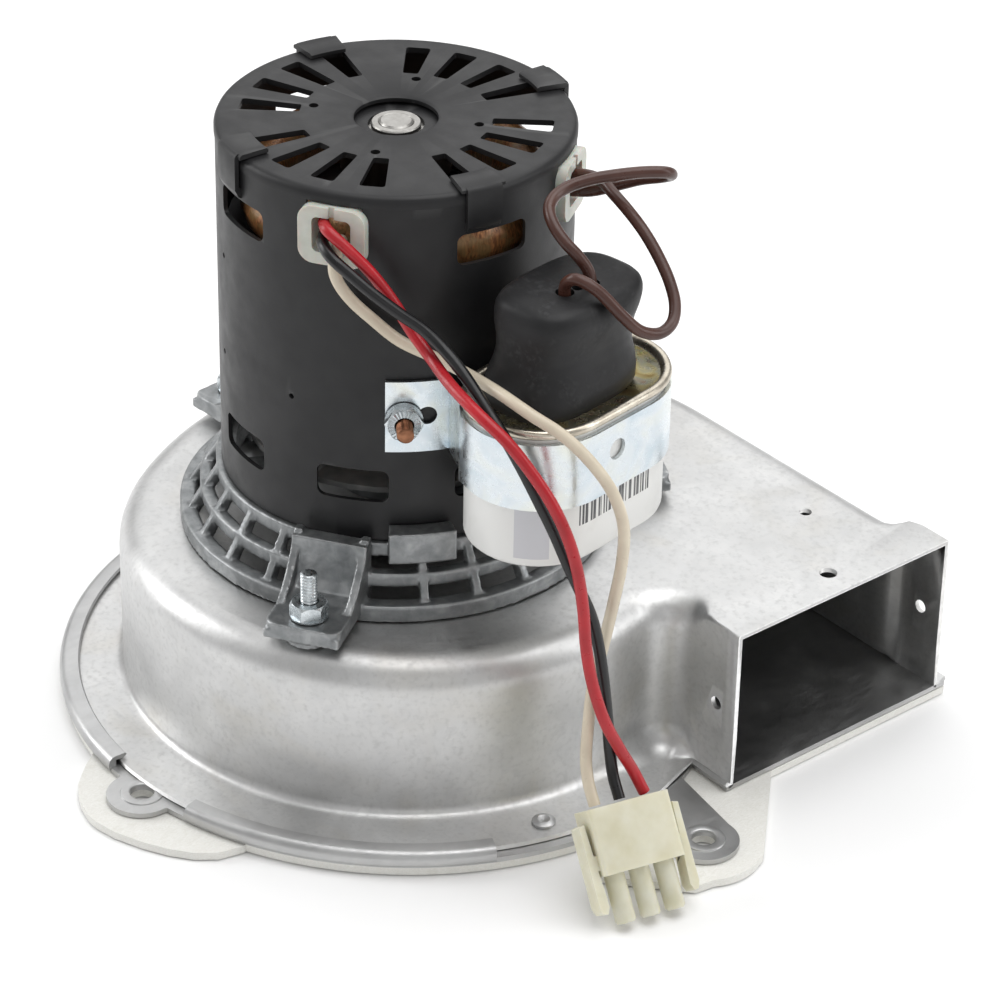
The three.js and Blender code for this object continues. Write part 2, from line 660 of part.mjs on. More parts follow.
// The strap's two ends lie on the motor shell; they are made about the shaft axis.
const STRAP_EARS = [
  { from: -41.3, to: -18, bolt: -35.6, spareHole: -28.4 },
  { from: 22, to: 44, bolt: 38, spareHole: 31 },
];

function strapEar({ from, to, bolt, spareHole }) {
  const inner = MOTOR.radius + GAP;
  const outer = inner + STRAP.sheet;
  const sheet = sector(inner, outer, from, to, STRAP.earBottom, STRAP.earTop, 6);
  const holes = [bolt, spareHole].map((angle) => radialPlug(4.8, 4.8, 2.3, 40, 48, angle, STRAP.bolt, 2));
  return cut(sheet, ...holes);
}

// Short bends that join each ear to the band round the can.
function strapBridge(angle, length) {
  const inner = MOTOR.radius + GAP;
  return block(inner, inner + length, -0.6, 0.6, STRAP.bottom, STRAP.earTop, angle);
}

function fullStrap() {
  const onCan = (form) => form.rotate([0, 0, CAN.turn]).translate([CAN.x, CAN.y, 0]);
  const band = onCan(makeStrap());
  const canSpace = onCan(oval(GAP, STRAP.bottom - 1, STRAP.top + 1));
  const bridges = [strapBridge(-18.4, 9), strapBridge(22.6, 8)];
  return union(band, ...STRAP_EARS.map(strapEar), cut(union(...bridges), canSpace));
}

function strapStud({ bolt }) {
  const geometry = new THREE.CylinderGeometry(2.05, 2.05, 9, 16).rotateZ(Math.PI / 2);
  geometry.translate(MOTOR.radius + GAP + 4.5, 0, STRAP.bolt).rotateZ(bolt * DEG);
  return solid(geometry);
}

function strapNut({ bolt }) {
  const seat = MOTOR.radius + 2 * GAP + STRAP.sheet + 0.4;
  const nut = hexNut(0, 0, 0, STUD.radius + GAP, NUT.radius, 3.4);
  return nut.rotate([0, 90, 0]).translate([seat, 0, STRAP.bolt]).rotate([0, 0, bolt]);
}

add(capacitorParts, "capacitor_can", oval(0, CAN.bottom, CAN.top), COLOURS.can);
add(capacitorParts, "capacitor_lid", makeLid(), COLOURS.champagne);
add(capacitorParts, "capacitor_boot", makeBoot(), COLOURS.rubber);
TERMINALS.forEach((y, i) => add(capacitorParts, `terminal_${i + 1}`, makeTerminal(y), COLOURS.brass));
add(group, "capacitor_strap", fullStrap(), COLOURS.brightZinc);
STRAP_EARS.forEach((one, i) => {
  add(group, `strap_stud_${i + 1}`, strapStud(one), COLOURS.brass);
  add(group, `strap_nut_${i + 1}`, strapNut(one), COLOURS.brightZinc);
});

// ---- grommets in the shell, where the wires come out ----

function makeGrommet(angle) {
  const { width, height, wall } = GROMMET;
  const z = MOTOR.top - 0.6 - height / 2;
  const inner = MOTOR.radius - MOTOR.sheet - 1.6;
  const outer = MOTOR.radius + 1.7;
  const shellInside = MOTOR.radius - MOTOR.sheet;
  const shellBand = sector(shellInside - GAP, MOTOR.radius + GAP, angle - 20, angle + 20, 100, 160, 4);
  const neckBottom = MOTOR.top - GROMMET.mouth + GAP;
  const neckTop = z + height / 2;
  const neck = radialPlug(width - 3.2, neckTop - neckBottom, 2, inner, outer, angle, (neckTop + neckBottom) / 2);
  const flange = cut(radialPlug(width, height, 3, inner, outer, angle, z), shellBand);
  const opening = radialPlug(width - 2 * wall, height - 2 * wall + 1, 1.5, 30, 50, angle, z);
  return cut(union(flange, neck), opening);
}

add(motorParts, "lead_grommet", makeGrommet(GROMMET.angles.leads), COLOURS.nylon);
add(motorParts, "capacitor_grommet", makeGrommet(GROMMET.angles.capacitor), COLOURS.nylon);

// ---- wires: points are [x, y, z] from the shaft axis and the seating face ----

const ROUTES = {
  lead_white: [
    [24.1, -34.4, 141.2], [26, -37, 140.8], [26, -38.1, 136.4], [26.4, -37.4, 132.6],
    [28.2, -35, 127.8], [31.5, -31.4, 123], [36.6, -27.8, 118.6],
    [43.2, -23.8, 116.2], [53.4, -22.6, 116.2], [66.8, -23.2, 117], [76.6, -22.4, 115.8], [83.8, -18.5, 112],
    [88.9, -14, 105.2], [91.8, -10.6, 98], [93.4, -8.7, 89.6], [93.3, -8.7, 80.4], [92, -9.5, 69.6],
    [90.3, -10.6, 57.5], [90, -13.1, 47.2], [92, -15.9, 38.8], [95, -18.9, 31.2], [97.6, -20.2, 27],
    [100.9, -21, 22.8],
  ],
  lead_red: [
    [20.5, -36.7, 144.8], [24.8, -38.9, 145.2], [30, -37.2, 142], [34.4, -33.8, 136.6], [38, -30.6, 130],
    [42, -28.4, 123.4], [48.5, -28.2, 119.6], [58.9, -30.8, 118.2], [69.8, -31.8, 116.2], [78.2, -30.3, 112.3],
    [83.6, -28.3, 107], [88, -25.5, 99.6], [91.2, -23.2, 91.2], [93, -21.6, 82.6], [94.2, -20.6, 72.8],
    [95, -20, 62.4], [96.4, -18.9, 52.9], [98.8, -17, 43.4], [100.3, -13.4, 35], [101.2, -10, 28.2],
    [103.9, -8.6, 22.9],
  ],
  lead_black: [
    [20.4, -36.7, 141.4], [23.6, -39.4, 141.6], [28.4, -40.4, 140.2], [33.2, -38.6, 137.2],
    [38.2, -36, 133.6], [43, -32.6, 129.8],
    [47.2, -29, 126.2], [52.6, -27.2, 122.6], [59.6, -27.2, 119.4], [68, -27.5, 114.4], [74.6, -27.3, 109.6],
    [78.4, -25.9, 103.8], [81.9, -24, 96.6], [84.9, -21.9, 89.2], [87.8, -20, 81.4], [90.2, -18, 74.4],
    [92, -16, 67.6], [93.4, -14.8, 59.8], [94.6, -14, 50.7], [95.6, -13.4, 41], [97.2, -13.6, 32.6],
    [99, -14, 27.2], [102.4, -14.8, 22.8],
  ],
  capacitor_wire_1: [
    [35.5, 22.4, 140.4], [40.4, 25.2, 141.4], [45.6, 28.4, 144], [50.6, 31.3, 146.6], [54.9, 33.6, 148.2],
    [58.6, 33.2, 150.4], [59.8, 30.2, 152.4], [57.9, 26, 153], [54.3, 20.2, 152.6], [51.2, 14.9, 151.8],
    [49.4, 10.2, 150.7], [49.7, 6, 149.7], [51.6, 2.9, 148.4], [55.2, 1.2, 146.5], [59.4, 1.2, 143.8],
    [62.6, 2.4, 141.2], [64.4, 3.7, 138.2], [65, 4.1, 135.6], [65, 4.15, 132.2],
  ],
  capacitor_wire_2: [
    [35.6, 22.5, 144.6], [40.6, 24, 145.8], [45.9, 23.4, 146.6], [51.1, 22.6, 145.7], [56.5, 22.4, 143.7],
    [62.3, 22.2, 140.8], [67.9, 21.8, 136.9], [73, 20.8, 133], [76.9, 19.1, 129.4], [79.2, 16.3, 126.9],
    [79.8, 12.2, 125.9], [78.8, 7.4, 127.6], [76.8, 3.4, 132], [72.2, -0.4, 137.8], [67.8, -2.8, 139.4],
    [65, -3.2, 137], [64.8, -3.2, 132.6],
  ],
};

function tube(points) {
  const curve = new THREE.CatmullRomCurve3(points.map((p) => new THREE.Vector3(...p)), false, "centripetal");
  const section = new THREE.Shape();
  for (let i = 0; i < LEAD.sides; i++) {
    const [x, y] = polar(LEAD.diameter / 2, (i * 360) / LEAD.sides);
    if (i === 0) section.moveTo(x, y);
    else section.lineTo(x, y);
  }
  section.closePath();
  const steps = Math.round(curve.getLength() / (2.5 * LEAD.diameter));
  return solid(new THREE.ExtrudeGeometry(section, { steps, bevelEnabled: false, extrudePath: curve }));
}

const WIRE_COLOURS = {
  lead_white: COLOURS.white,
  lead_red: COLOURS.red,
  lead_black: COLOURS.blackWire,
  capacitor_wire_1: COLOURS.brown,
  capacitor_wire_2: COLOURS.brown,
};

for (const [name, points] of Object.entries(ROUTES)) {
  add(group, name, tube(points), WIRE_COLOURS[name]);
}

// ---- three-way plug on the leads; local X is its row, local Z runs back up the wires ----

const plugRow = new THREE.Vector3(0.24, 0.97, 0).normalize();
const plugUp = new THREE.Vector3(-0.61, 0.152, 0.778);
plugUp.addScaledVector(plugRow, -plugUp.dot(plugRow)).normalize();
const plugSide = new THREE.Vector3().crossVectors(plugUp, plugRow);
const plugBasis = new THREE.Matrix4().makeBasis(plugRow, plugSide, plugUp);
const plugTop = new THREE.Vector3(102.9, -14.9, 22.5);
plugParts.quaternion.setFromRotationMatrix(plugBasis);
plugParts.position.copy(plugTop);

const WAYS = [-PLUG.pitch, 0, PLUG.pitch];

function makePlug() {
  const { width, depth, body, tube: length, tubeRadius, wayRadius } = PLUG;
  const half = width / 2;
  const main = block(-half, half, -depth / 2, depth / 2, -body, 0);
  const tubes = WAYS.map((x) => disc(tubeRadius, -body - length, -body + 1, x, 0, 20));
  const arms = [-half - 2.6, half + 0.6].map((x) => {
    const latch = block(x, x + 2, -2.6, 2.6, -body - 8.5, -3.2);
    const root = block(x - 1, x + 3, -2.6, 2.6, -body + 2, -body + 5);
    return union(latch, root);
  });
  const ways = WAYS.map((x) => disc(wayRadius, -body - length - 1, -1.5, x, 0, 12));
  const mouths = WAYS.map((x) => disc(LEAD.diameter / 2 + 0.7, -2, 1, x, 0, 16));
  return cut(union(main, ...tubes, ...arms), ...ways, ...mouths);
}

add(plugParts, "plug_housing", makePlug(), COLOURS.nylon);
WAYS.forEach((x, i) => {
  const pin = disc(PLUG.wayRadius - GAP, -PLUG.body - PLUG.tube + 2, -4, x, 0, 12);
  add(plugParts, `plug_pin_${i + 1}`, pin, COLOURS.brass);
});

// ---- put the origin under the middle of the object, leads and plug left out ----

const LOOSE = [...Object.keys(ROUTES), "plug_housing", "plug_pin_1", "plug_pin_2", "plug_pin_3"];
group.updateMatrixWorld(true);
const bounds = new THREE.Box3();
group.traverse((object) => {
  if (object.isMesh && !LOOSE.includes(object.name)) bounds.expandByObject(object, true);
});
const middle = bounds.getCenter(new THREE.Vector3());
group.position.set(-middle.x, -middle.y, -bounds.min.z);

export default group;
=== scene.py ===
# Combustion fan: a draft inducer blower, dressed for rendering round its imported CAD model.
# Shapes are made in millimetres from the shaft axis and the seating face, as in the CAD,
# and are moved into the row frame, in metres, when each piece is finished.
import bmesh
import bpy
import math
from mathutils import Matrix, Vector
from mathutils.geometry import tessellate_polygon


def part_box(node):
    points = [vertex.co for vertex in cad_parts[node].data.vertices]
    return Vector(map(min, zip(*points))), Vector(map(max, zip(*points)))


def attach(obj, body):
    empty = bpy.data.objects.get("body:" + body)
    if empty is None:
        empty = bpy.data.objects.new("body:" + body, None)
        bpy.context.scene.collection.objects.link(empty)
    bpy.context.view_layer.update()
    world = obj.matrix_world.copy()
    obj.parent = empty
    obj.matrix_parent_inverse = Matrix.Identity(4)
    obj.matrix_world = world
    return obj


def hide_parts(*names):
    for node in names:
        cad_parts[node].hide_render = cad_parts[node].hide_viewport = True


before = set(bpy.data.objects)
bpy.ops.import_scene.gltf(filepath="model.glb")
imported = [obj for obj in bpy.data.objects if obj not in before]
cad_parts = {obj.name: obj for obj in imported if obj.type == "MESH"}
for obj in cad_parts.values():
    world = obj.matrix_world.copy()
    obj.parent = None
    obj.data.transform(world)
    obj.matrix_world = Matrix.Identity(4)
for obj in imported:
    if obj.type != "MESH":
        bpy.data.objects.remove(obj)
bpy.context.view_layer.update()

MM = 0.001
shaft_low, shaft_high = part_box("shaft")
AXIS = Vector(((shaft_low[0] + shaft_high[0]) / 2, (shaft_low[1] + shaft_high[1]) / 2, 0))
FIXED = "frame"
TURNING = "rotor"

# ---- dimensions, in millimetres, the same as the CAD model's ----
PLATE = dict(x=4, y=2, radius=87.3, bottom=2.3, top=3.6, inlet=34, hem_inner=82.3, hem_top=6.4,
             near=26.5, far=99.5)
LIP = dict(top=5.0, edge=84.3)
DRUM = dict(x=2.5, y=2.5, radius=71, top=46.2, sheet=1.2, round=8)
DUCT = dict(near=27.5, far=94.5, flare=96.7, outlet=95, corner=8, trough_foot=4.3)
MOTOR = dict(radius=42, sheet=1.1, bottom=62.8, top=150)
CAP = dict(radius=42.2, top=152.5, sheet=1.4, bore=9.85)
UPPER_WINDOW = dict(first=-6.5, width=18.2, height=7.7, z=138.1)
LOWER_WINDOW = dict(first=-7, width=17.2, height=8.4, z=77.3)
TAB = dict(first=-10.8, width=11.6, head=14.8, foot=142.4)
LEGS = dict(angles=(-57, 63, 183), bolt=61.5, width=18.5, foot_bottom=48.2)
CAN = dict(x=62, y=0.6, turn=8, width=33.3, length=52.2, bottom=73.6, top=107.8)
LEAD_DIAMETER = 2.8


def polar(radius, degrees, x=0.0, y=0.0):
    a = math.radians(degrees)
    return (x + radius * math.cos(a), y + radius * math.sin(a))


def to_world(point):
    return Vector(point) * MM + AXIS


# ---- camera ----

VIEW = dict(azimuth=49.86, elevation=31.68, roll=1.20, lens=141.92, shift_x=-0.0044, shift_y=-0.0009)
VIEW_AIM = dict(height=152.5, distance=910.8, right=25.0, up=-88.8)


def make_camera():
    a = math.radians(VIEW["azimuth"])
    e = math.radians(VIEW["elevation"])
    roll = math.radians(VIEW["roll"])
    back = Vector((math.sin(a) * math.cos(e), -math.cos(a) * math.cos(e), math.sin(e)))
    level_right = Vector((math.cos(a), math.sin(a), 0))
    level_up = back.cross(level_right)
    right = math.cos(roll) * level_right + math.sin(roll) * level_up
    up = -math.sin(roll) * level_right + math.cos(roll) * level_up
    place = Vector((0, 0, VIEW_AIM["height"])) + back * VIEW_AIM["distance"]
    place = place + right * VIEW_AIM["right"] + up * VIEW_AIM["up"]
    data = bpy.data.cameras.new("camera")
    data.lens = VIEW["lens"]
    data.shift_x = VIEW["shift_x"]
    data.shift_y = VIEW["shift_y"]
    data.clip_start = 0.01
    data.clip_end = 50
    camera = bpy.data.objects.new("camera", data)
    turn = Matrix((right, up, back)).transposed()
    camera.matrix_world = Matrix.Translation(to_world(place)) @ turn.to_4x4()
    bpy.context.scene.collection.objects.link(camera)
    bpy.context.scene.camera = camera


make_camera()


# ---- materials ----

class Surface:
    """A node material with a few short ways to add detail. Sizes are given in millimetres."""

    def __init__(self, name, color, roughness, metallic=0.0, **sockets):
        self.material = bpy.data.materials.new(name)
        self.material.use_nodes = True
        self.nodes = self.material.node_tree.nodes
        self.links = self.material.node_tree.links
        self.shader = self.nodes["Principled BSDF"]
        self.shader.inputs["Base Color"].default_value = (*color, 1)
        self.shader.inputs["Roughness"].default_value = roughness
        self.shader.inputs["Metallic"].default_value = metallic
        for socket, value in sockets.items():
            self.shader.inputs[socket.replace("_", " ")].default_value = value
        self.where = self.nodes.new("ShaderNodeTexCoord").outputs["Object"]
        self.height = None

    def noise(self, size, detail=4.0, distortion=0.0, stretch=(1, 1, 1)):
        mapping = self.nodes.new("ShaderNodeMapping")
        mapping.inputs["Scale"].default_value = stretch
        self.links.new(self.where, mapping.inputs["Vector"])
        node = self.nodes.new("ShaderNodeTexNoise")
        node.inputs["Scale"].default_value = 1 / (size * MM)
        node.inputs["Detail"].default_value = detail
        node.inputs["Distortion"].default_value = distortion
        self.links.new(mapping.outputs["Vector"], node.inputs["Vector"])
        return node.outputs["Fac"]

    def cells(self, size, output="Distance"):
        node = self.nodes.new("ShaderNodeTexVoronoi")
        node.inputs["Scale"].default_value = 1 / (size * MM)
        self.links.new(self.where, node.inputs["Vector"])
        return node.outputs[output]

    def range(self, value, low, high, to_low, to_high):
        node = self.nodes.new("ShaderNodeMapRange")
        ends = {"From Min": low, "From Max": high, "To Min": to_low, "To Max": to_high}
        for socket, end in ends.items():
            node.inputs[socket].default_value = end
        self.links.new(value, node.inputs["Value"])
        return node.outputs["Result"]

    def ramp(self, value, *stops):
        node = self.nodes.new("ShaderNodeValToRGB")
        elements = node.color_ramp.elements
        while len(elements) < len(stops):
            elements.new(0.5)
        for element, (position, color) in zip(elements, stops):
            element.position = position
            element.color = (*color, 1)
        self.links.new(value, node.inputs["Fac"])
        return node.outputs["Color"]

    def multiply(self, first, second):
        node = self.nodes.new("ShaderNodeMath")
        node.operation = "MULTIPLY"
        self.links.new(first, node.inputs[0])
        self.links.new(second, node.inputs[1])
        return node.outputs["Value"]

    def mix(self, factor, first, second):
        node = self.nodes.new("ShaderNodeMix")
        node.data_type = "RGBA"
        self.links.new(factor, node.inputs["Factor"])
        for socket, value in ((node.inputs[6], first), (node.inputs[7], second)):
            if isinstance(value, tuple):
                socket.default_value = (*value, 1)
            else:
                self.links.new(value, socket)
        return node.outputs[2]

    def color(self, value):
        self.links.new(value, self.shader.inputs["Base Color"])

    def roughness(self, value):
        self.links.new(value, self.shader.inputs["Roughness"])

    def bump(self, value, depth, strength=1.0):
        node = self.nodes.new("ShaderNodeBump")
        node.inputs["Distance"].default_value = depth * MM
        node.inputs["Strength"].default_value = strength
        self.links.new(value, node.inputs["Height"])
        if self.height is not None:
            self.links.new(self.height, node.inputs["Normal"])
        self.height = node.outputs["Normal"]
        self.links.new(self.height, self.shader.inputs["Normal"])

    def proud_edges(self):
        """Pointiness: above 0.5 on edges that stand proud, below it in corners."""
        return self.nodes.new("ShaderNodeNewGeometry").outputs["Pointiness"]


def galvanised_sheet():
    s = Surface("galvanised_sheet", (0.6, 0.6, 0.6), 0.35, 1.0)
    clouds = s.noise(20, 5, distortion=0.6)
    flakes = s.cells(2.4, output="Color")
    specks = s.noise(1.3, 6)
    tone = s.ramp(clouds, (0.3, (0.57, 0.57, 0.565)), (0.7, (0.71, 0.71, 0.705)))
    spangle = s.mix(s.range(flakes, 0.2, 0.8, 0, 0.24), tone, (0.54, 0.545, 0.55))
    stains = s.range(s.noise(26, 5, distortion=1.0), 0.55, 0.75, 0, 0.35)
    stained = s.mix(stains, spangle, (0.55, 0.52, 0.46))
    s.color(s.mix(s.range(specks, 0.5, 0.75, 0, 0.36), stained, (0.44, 0.44, 0.435)))
    s.roughness(s.range(s.multiply(clouds, specks), 0.1, 0.4, 0.35, 0.5))
    s.bump(s.noise(9, 3), 0.06, 0.3)
    s.bump(s.noise(0.9, 3, stretch=(1, 1, 0.35)), 0.02, 0.5)
    return s.material


def plate_sheet():
    s = Surface("plate_sheet", (0.58, 0.58, 0.58), 0.38, 1.0)
    clouds = s.noise(16, 5, distortion=0.4)
    grain = s.noise(1.2, 3, stretch=(1, 0.15, 1))
    tone = s.ramp(clouds, (0.3, (0.44, 0.44, 0.44)), (0.7, (0.60, 0.60, 0.595)))
    s.color(s.mix(s.range(s.noise(1.6, 4), 0.35, 0.65, 0, 0.4), tone, (0.50, 0.505, 0.51)))
    s.roughness(s.range(s.multiply(clouds, grain), 0.1, 0.4, 0.32, 0.5))
    s.bump(grain, 0.02, 0.5)
    return s.material


def cast_zinc():
    s = Surface("cast_zinc", (0.3, 0.31, 0.32), 0.5, 0.85)
    cloud = s.noise(3.2, 7, distortion=0.4)
    pits = s.noise(0.8, 4)
    # lighter_edges here is a painted highlight: the casting's colour is turned pale on edges that stand
    # proud, standing in for edge glints
    lighter_edges = s.range(s.proud_edges(), 0.52, 0.62, 0, 0.65)
    body = s.ramp(cloud, (0.25, (0.19, 0.2, 0.205)), (0.5, (0.27, 0.28, 0.285)),
                  (0.75, (0.38, 0.39, 0.395)))
    s.color(s.mix(lighter_edges, body, (0.66, 0.67, 0.67)))
    s.roughness(s.range(pits, 0.3, 0.7, 0.3, 0.5))
    s.bump(s.noise(2.2, 4), 0.06, 0.6)
    s.bump(pits, 0.04, 0.6)
    return s.material


def black_paint():
    s = Surface("black_paint", (0.012, 0.012, 0.013), 0.4, 0.0, Specular_IOR_Level=0.36)
    mottled = s.noise(14, 4)
    # lighter_edges here is worn paint, paler on edges that stand proud
    lighter_edges = s.range(s.proud_edges(), 0.54, 0.64, 0, 0.35)
    paint = s.ramp(mottled, (0.3, (0.010, 0.010, 0.011)), (0.7, (0.018, 0.018, 0.019)))
    s.color(s.mix(lighter_edges, paint, (0.09, 0.09, 0.09)))
    s.roughness(s.range(s.noise(5, 4), 0.3, 0.7, 0.38, 0.5))
    s.bump(s.noise(0.7, 2), 0.03, 0.35)
    return s.material


def plain_surface(name, base, rough, metallic, tone, stops, gloss, grain, stretch=(1, 1, 1), **sockets):
    """Mottled colour, uneven gloss and a fine grain, each from a noise of its own.

    tone is (size, detail, distortion), gloss is (size, detail, low, high), and grain is
    (size, detail, depth, strength).
    """
    s = Surface(name, base, rough, metallic, **sockets)
    s.color(s.ramp(s.noise(*tone), *stops))
    s.roughness(s.range(s.noise(*gloss[:2]), 0.3, 0.7, *gloss[2:]))
    s.bump(s.noise(*grain[:2], stretch=stretch), *grain[2:])
    return s.material


def plated_steel(name, dark, light, rough=0.3):
    return plain_surface(name, light, rough, 1.0, (2.5, 4), ((0.3, dark), (0.7, light)),
                         (0.8, 3, rough - 0.06, rough + 0.14), (0.5, 2, 0.015, 0.5))


def boot_rubber():
    s = Surface("boot_rubber", (0.018, 0.018, 0.019), 0.5, 0.0, Specular_IOR_Level=0.3)
    dust = s.noise(7, 6, distortion=0.7)
    specks = s.range(s.cells(1.6), 0.0, 0.10, 1, 0)
    marked = s.multiply(s.range(dust, 0.5, 0.75, 0, 0.6), s.range(s.noise(1.2, 4), 0.45, 0.65, 0, 1))
    body = s.mix(marked, (0.014, 0.014, 0.015), (0.06, 0.06, 0.062))
    s.color(s.mix(s.range(specks, 0.4, 1.0, 0, 0.10), body, (0.2, 0.2, 0.2)))
    s.roughness(s.range(dust, 0.3, 0.7, 0.40, 0.58))
    s.bump(s.noise(0.9, 3), 0.03, 0.4)
    return s.material


def wire_plastic(name, color, dark):
    return plain_surface(name, color, 0.32, 0.0, (9, 3), ((0.3, dark), (0.7, color)),
                         (1.5, 3, 0.26, 0.42), (1.1, 2, 0.03, 0.3),
                         Specular_IOR_Level=0.4, Coat_Weight=0.15, Coat_Roughness=0.15)


def gasket_fibre():
    s = Surface("gasket_fibre", (0.80, 0.79, 0.74), 0.9)
    stain = s.noise(14, 5, distortion=0.8)
    fibres = s.noise(0.7, 4, stretch=(1, 0.4, 1), distortion=2.0)
    clean = s.ramp(fibres, (0.3, (0.78, 0.77, 0.72)), (0.7, (0.88, 0.875, 0.84)))
    s.color(s.mix(s.range(stain, 0.62, 0.8, 0, 0.5), clean, (0.62, 0.60, 0.52)))
    s.bump(fibres, 0.06, 0.6)
    return s.material


def copper_winding():
    s = Surface("copper_winding", (0.3, 0.12, 0.04), 0.35, 0.4, Coat_Weight=0.4, Coat_Roughness=0.2)
    strands = s.noise(0.5, 2, stretch=(1, 1, 0.06))
    patch = s.noise(5, 3, distortion=1)
    wire = s.ramp(strands, (0.3, (0.14, 0.05, 0.018)), (0.7, (0.55, 0.24, 0.09)))
    s.color(s.mix(s.range(patch, 0.45, 0.6, 0, 0.75), wire, (0.30, 0.19, 0.08)))
    s.bump(strands, 0.15, 0.8)
    return s.material


def lamination_stack():
    s = Surface("lamination_stack", (0.2, 0.2, 0.21), 0.45, 0.8)
    wave = s.nodes.new("ShaderNodeTexWave")
    wave.bands_direction = "Z"
    wave.inputs["Scale"].default_value = 320
    s.links.new(s.where, wave.inputs["Vector"])
    s.color(s.ramp(wave.outputs["Fac"], (0.2, (0.05, 0.05, 0.055)), (0.8, (0.30, 0.30, 0.31))))
    s.bump(wave.outputs["Fac"], 0.1, 0.6)
    return s.material


MATERIALS = {
    "galvanised": galvanised_sheet(),
    "plate": plate_sheet(),
    "cast_zinc": cast_zinc(),
    "black_paint": black_paint(),
    "bright_zinc": plain_surface(
        "bright_zinc", (0.62, 0.68, 0.72), 0.26, 1.0, (12, 3, 0.8),
        ((0.25, (0.55, 0.64, 0.70)), (0.5, (0.70, 0.75, 0.78)),
         (0.72, (0.74, 0.76, 0.70)), (0.85, (0.62, 0.70, 0.76))),
        (3, 4, 0.20, 0.36), (1.0, 3, 0.02, 0.35), stretch=(1, 1, 0.2)),
    "screw_steel": plated_steel("screw_steel", (0.48, 0.52, 0.54), (0.72, 0.76, 0.78), 0.26),
    "copper_stud": plated_steel("copper_stud", (0.16, 0.07, 0.04), (0.34, 0.16, 0.09), 0.34),
    "turned_steel": plated_steel("turned_steel", (0.36, 0.35, 0.33), (0.46, 0.45, 0.43), 0.34),
    "brass": plated_steel("brass_metal", (0.40, 0.28, 0.10), (0.62, 0.46, 0.20), 0.3),
    "nylon": plain_surface(
        "natural_nylon", (0.62, 0.59, 0.43), 0.42, 0.0, (6, 3),
        ((0.3, (0.64, 0.61, 0.45)), (0.7, (0.73, 0.71, 0.58))),
        (2, 3, 0.36, 0.5), (0.6, 2, 0.015, 0.5), Subsurface_Weight=0.35,
        Subsurface_Scale=0.004, Subsurface_Radius=(1.0, 0.85, 0.55), Specular_IOR_Level=0.45),
    "grommet": plain_surface(
        "grommet_nylon", (0.72, 0.72, 0.66), 0.38, 0.0, (4, 3),
        ((0.3, (0.50, 0.52, 0.46)), (0.7, (0.62, 0.63, 0.57))),
        (1.5, 3, 0.32, 0.46), (0.6, 2, 0.012, 0.4), Subsurface_Weight=0.3, Subsurface_Scale=0.003),
    "rubber": boot_rubber(),
    "gasket": gasket_fibre(),
    "lid": plain_surface(
        "lid_metal", (0.6, 0.5, 0.3), 0.28, 1.0, (9, 2, 1.5),
        ((0.25, (0.40, 0.27, 0.08)), (0.42, (0.58, 0.50, 0.24)), (0.55, (0.46, 0.46, 0.36)),
         (0.66, (0.52, 0.36, 0.24)), (0.8, (0.50, 0.40, 0.16))),
        (2, 3, 0.22, 0.36), (1.6, 3, 0.02, 0.4)),
    "rim": plain_surface(
        "rim_metal", (0.62, 0.56, 0.46), 0.3, 1.0, (4, 3),
        ((0.3, (0.50, 0.45, 0.37)), (0.7, (0.70, 0.65, 0.55))),
        (1.2, 3, 0.24, 0.38), (1.0, 2, 0.015, 0.4)),
    "winding": copper_winding(),
    "fan": plain_surface(
        "aluminium_fan", (0.7, 0.7, 0.7), 0.4, 0.6, (6, 4),
        ((0.3, (0.36, 0.37, 0.37)), (0.7, (0.58, 0.58, 0.57))),
        (1.5, 3, 0.34, 0.52), (0.8, 2, 0.02, 0.4)),
    "lamination": lamination_stack(),
    "white_wire": wire_plastic("white_wire", (0.74, 0.66, 0.52), (0.62, 0.54, 0.42)),
    "red_wire": wire_plastic("red_wire", (0.50, 0.012, 0.022), (0.36, 0.008, 0.014)),
    "black_wire": wire_plastic("black_wire", (0.007, 0.007, 0.008), (0.004, 0.004, 0.005)),
    "brown_wire": wire_plastic("brown_wire", (0.085, 0.034, 0.024), (0.055, 0.021, 0.015)),
}


# ---- wires ----

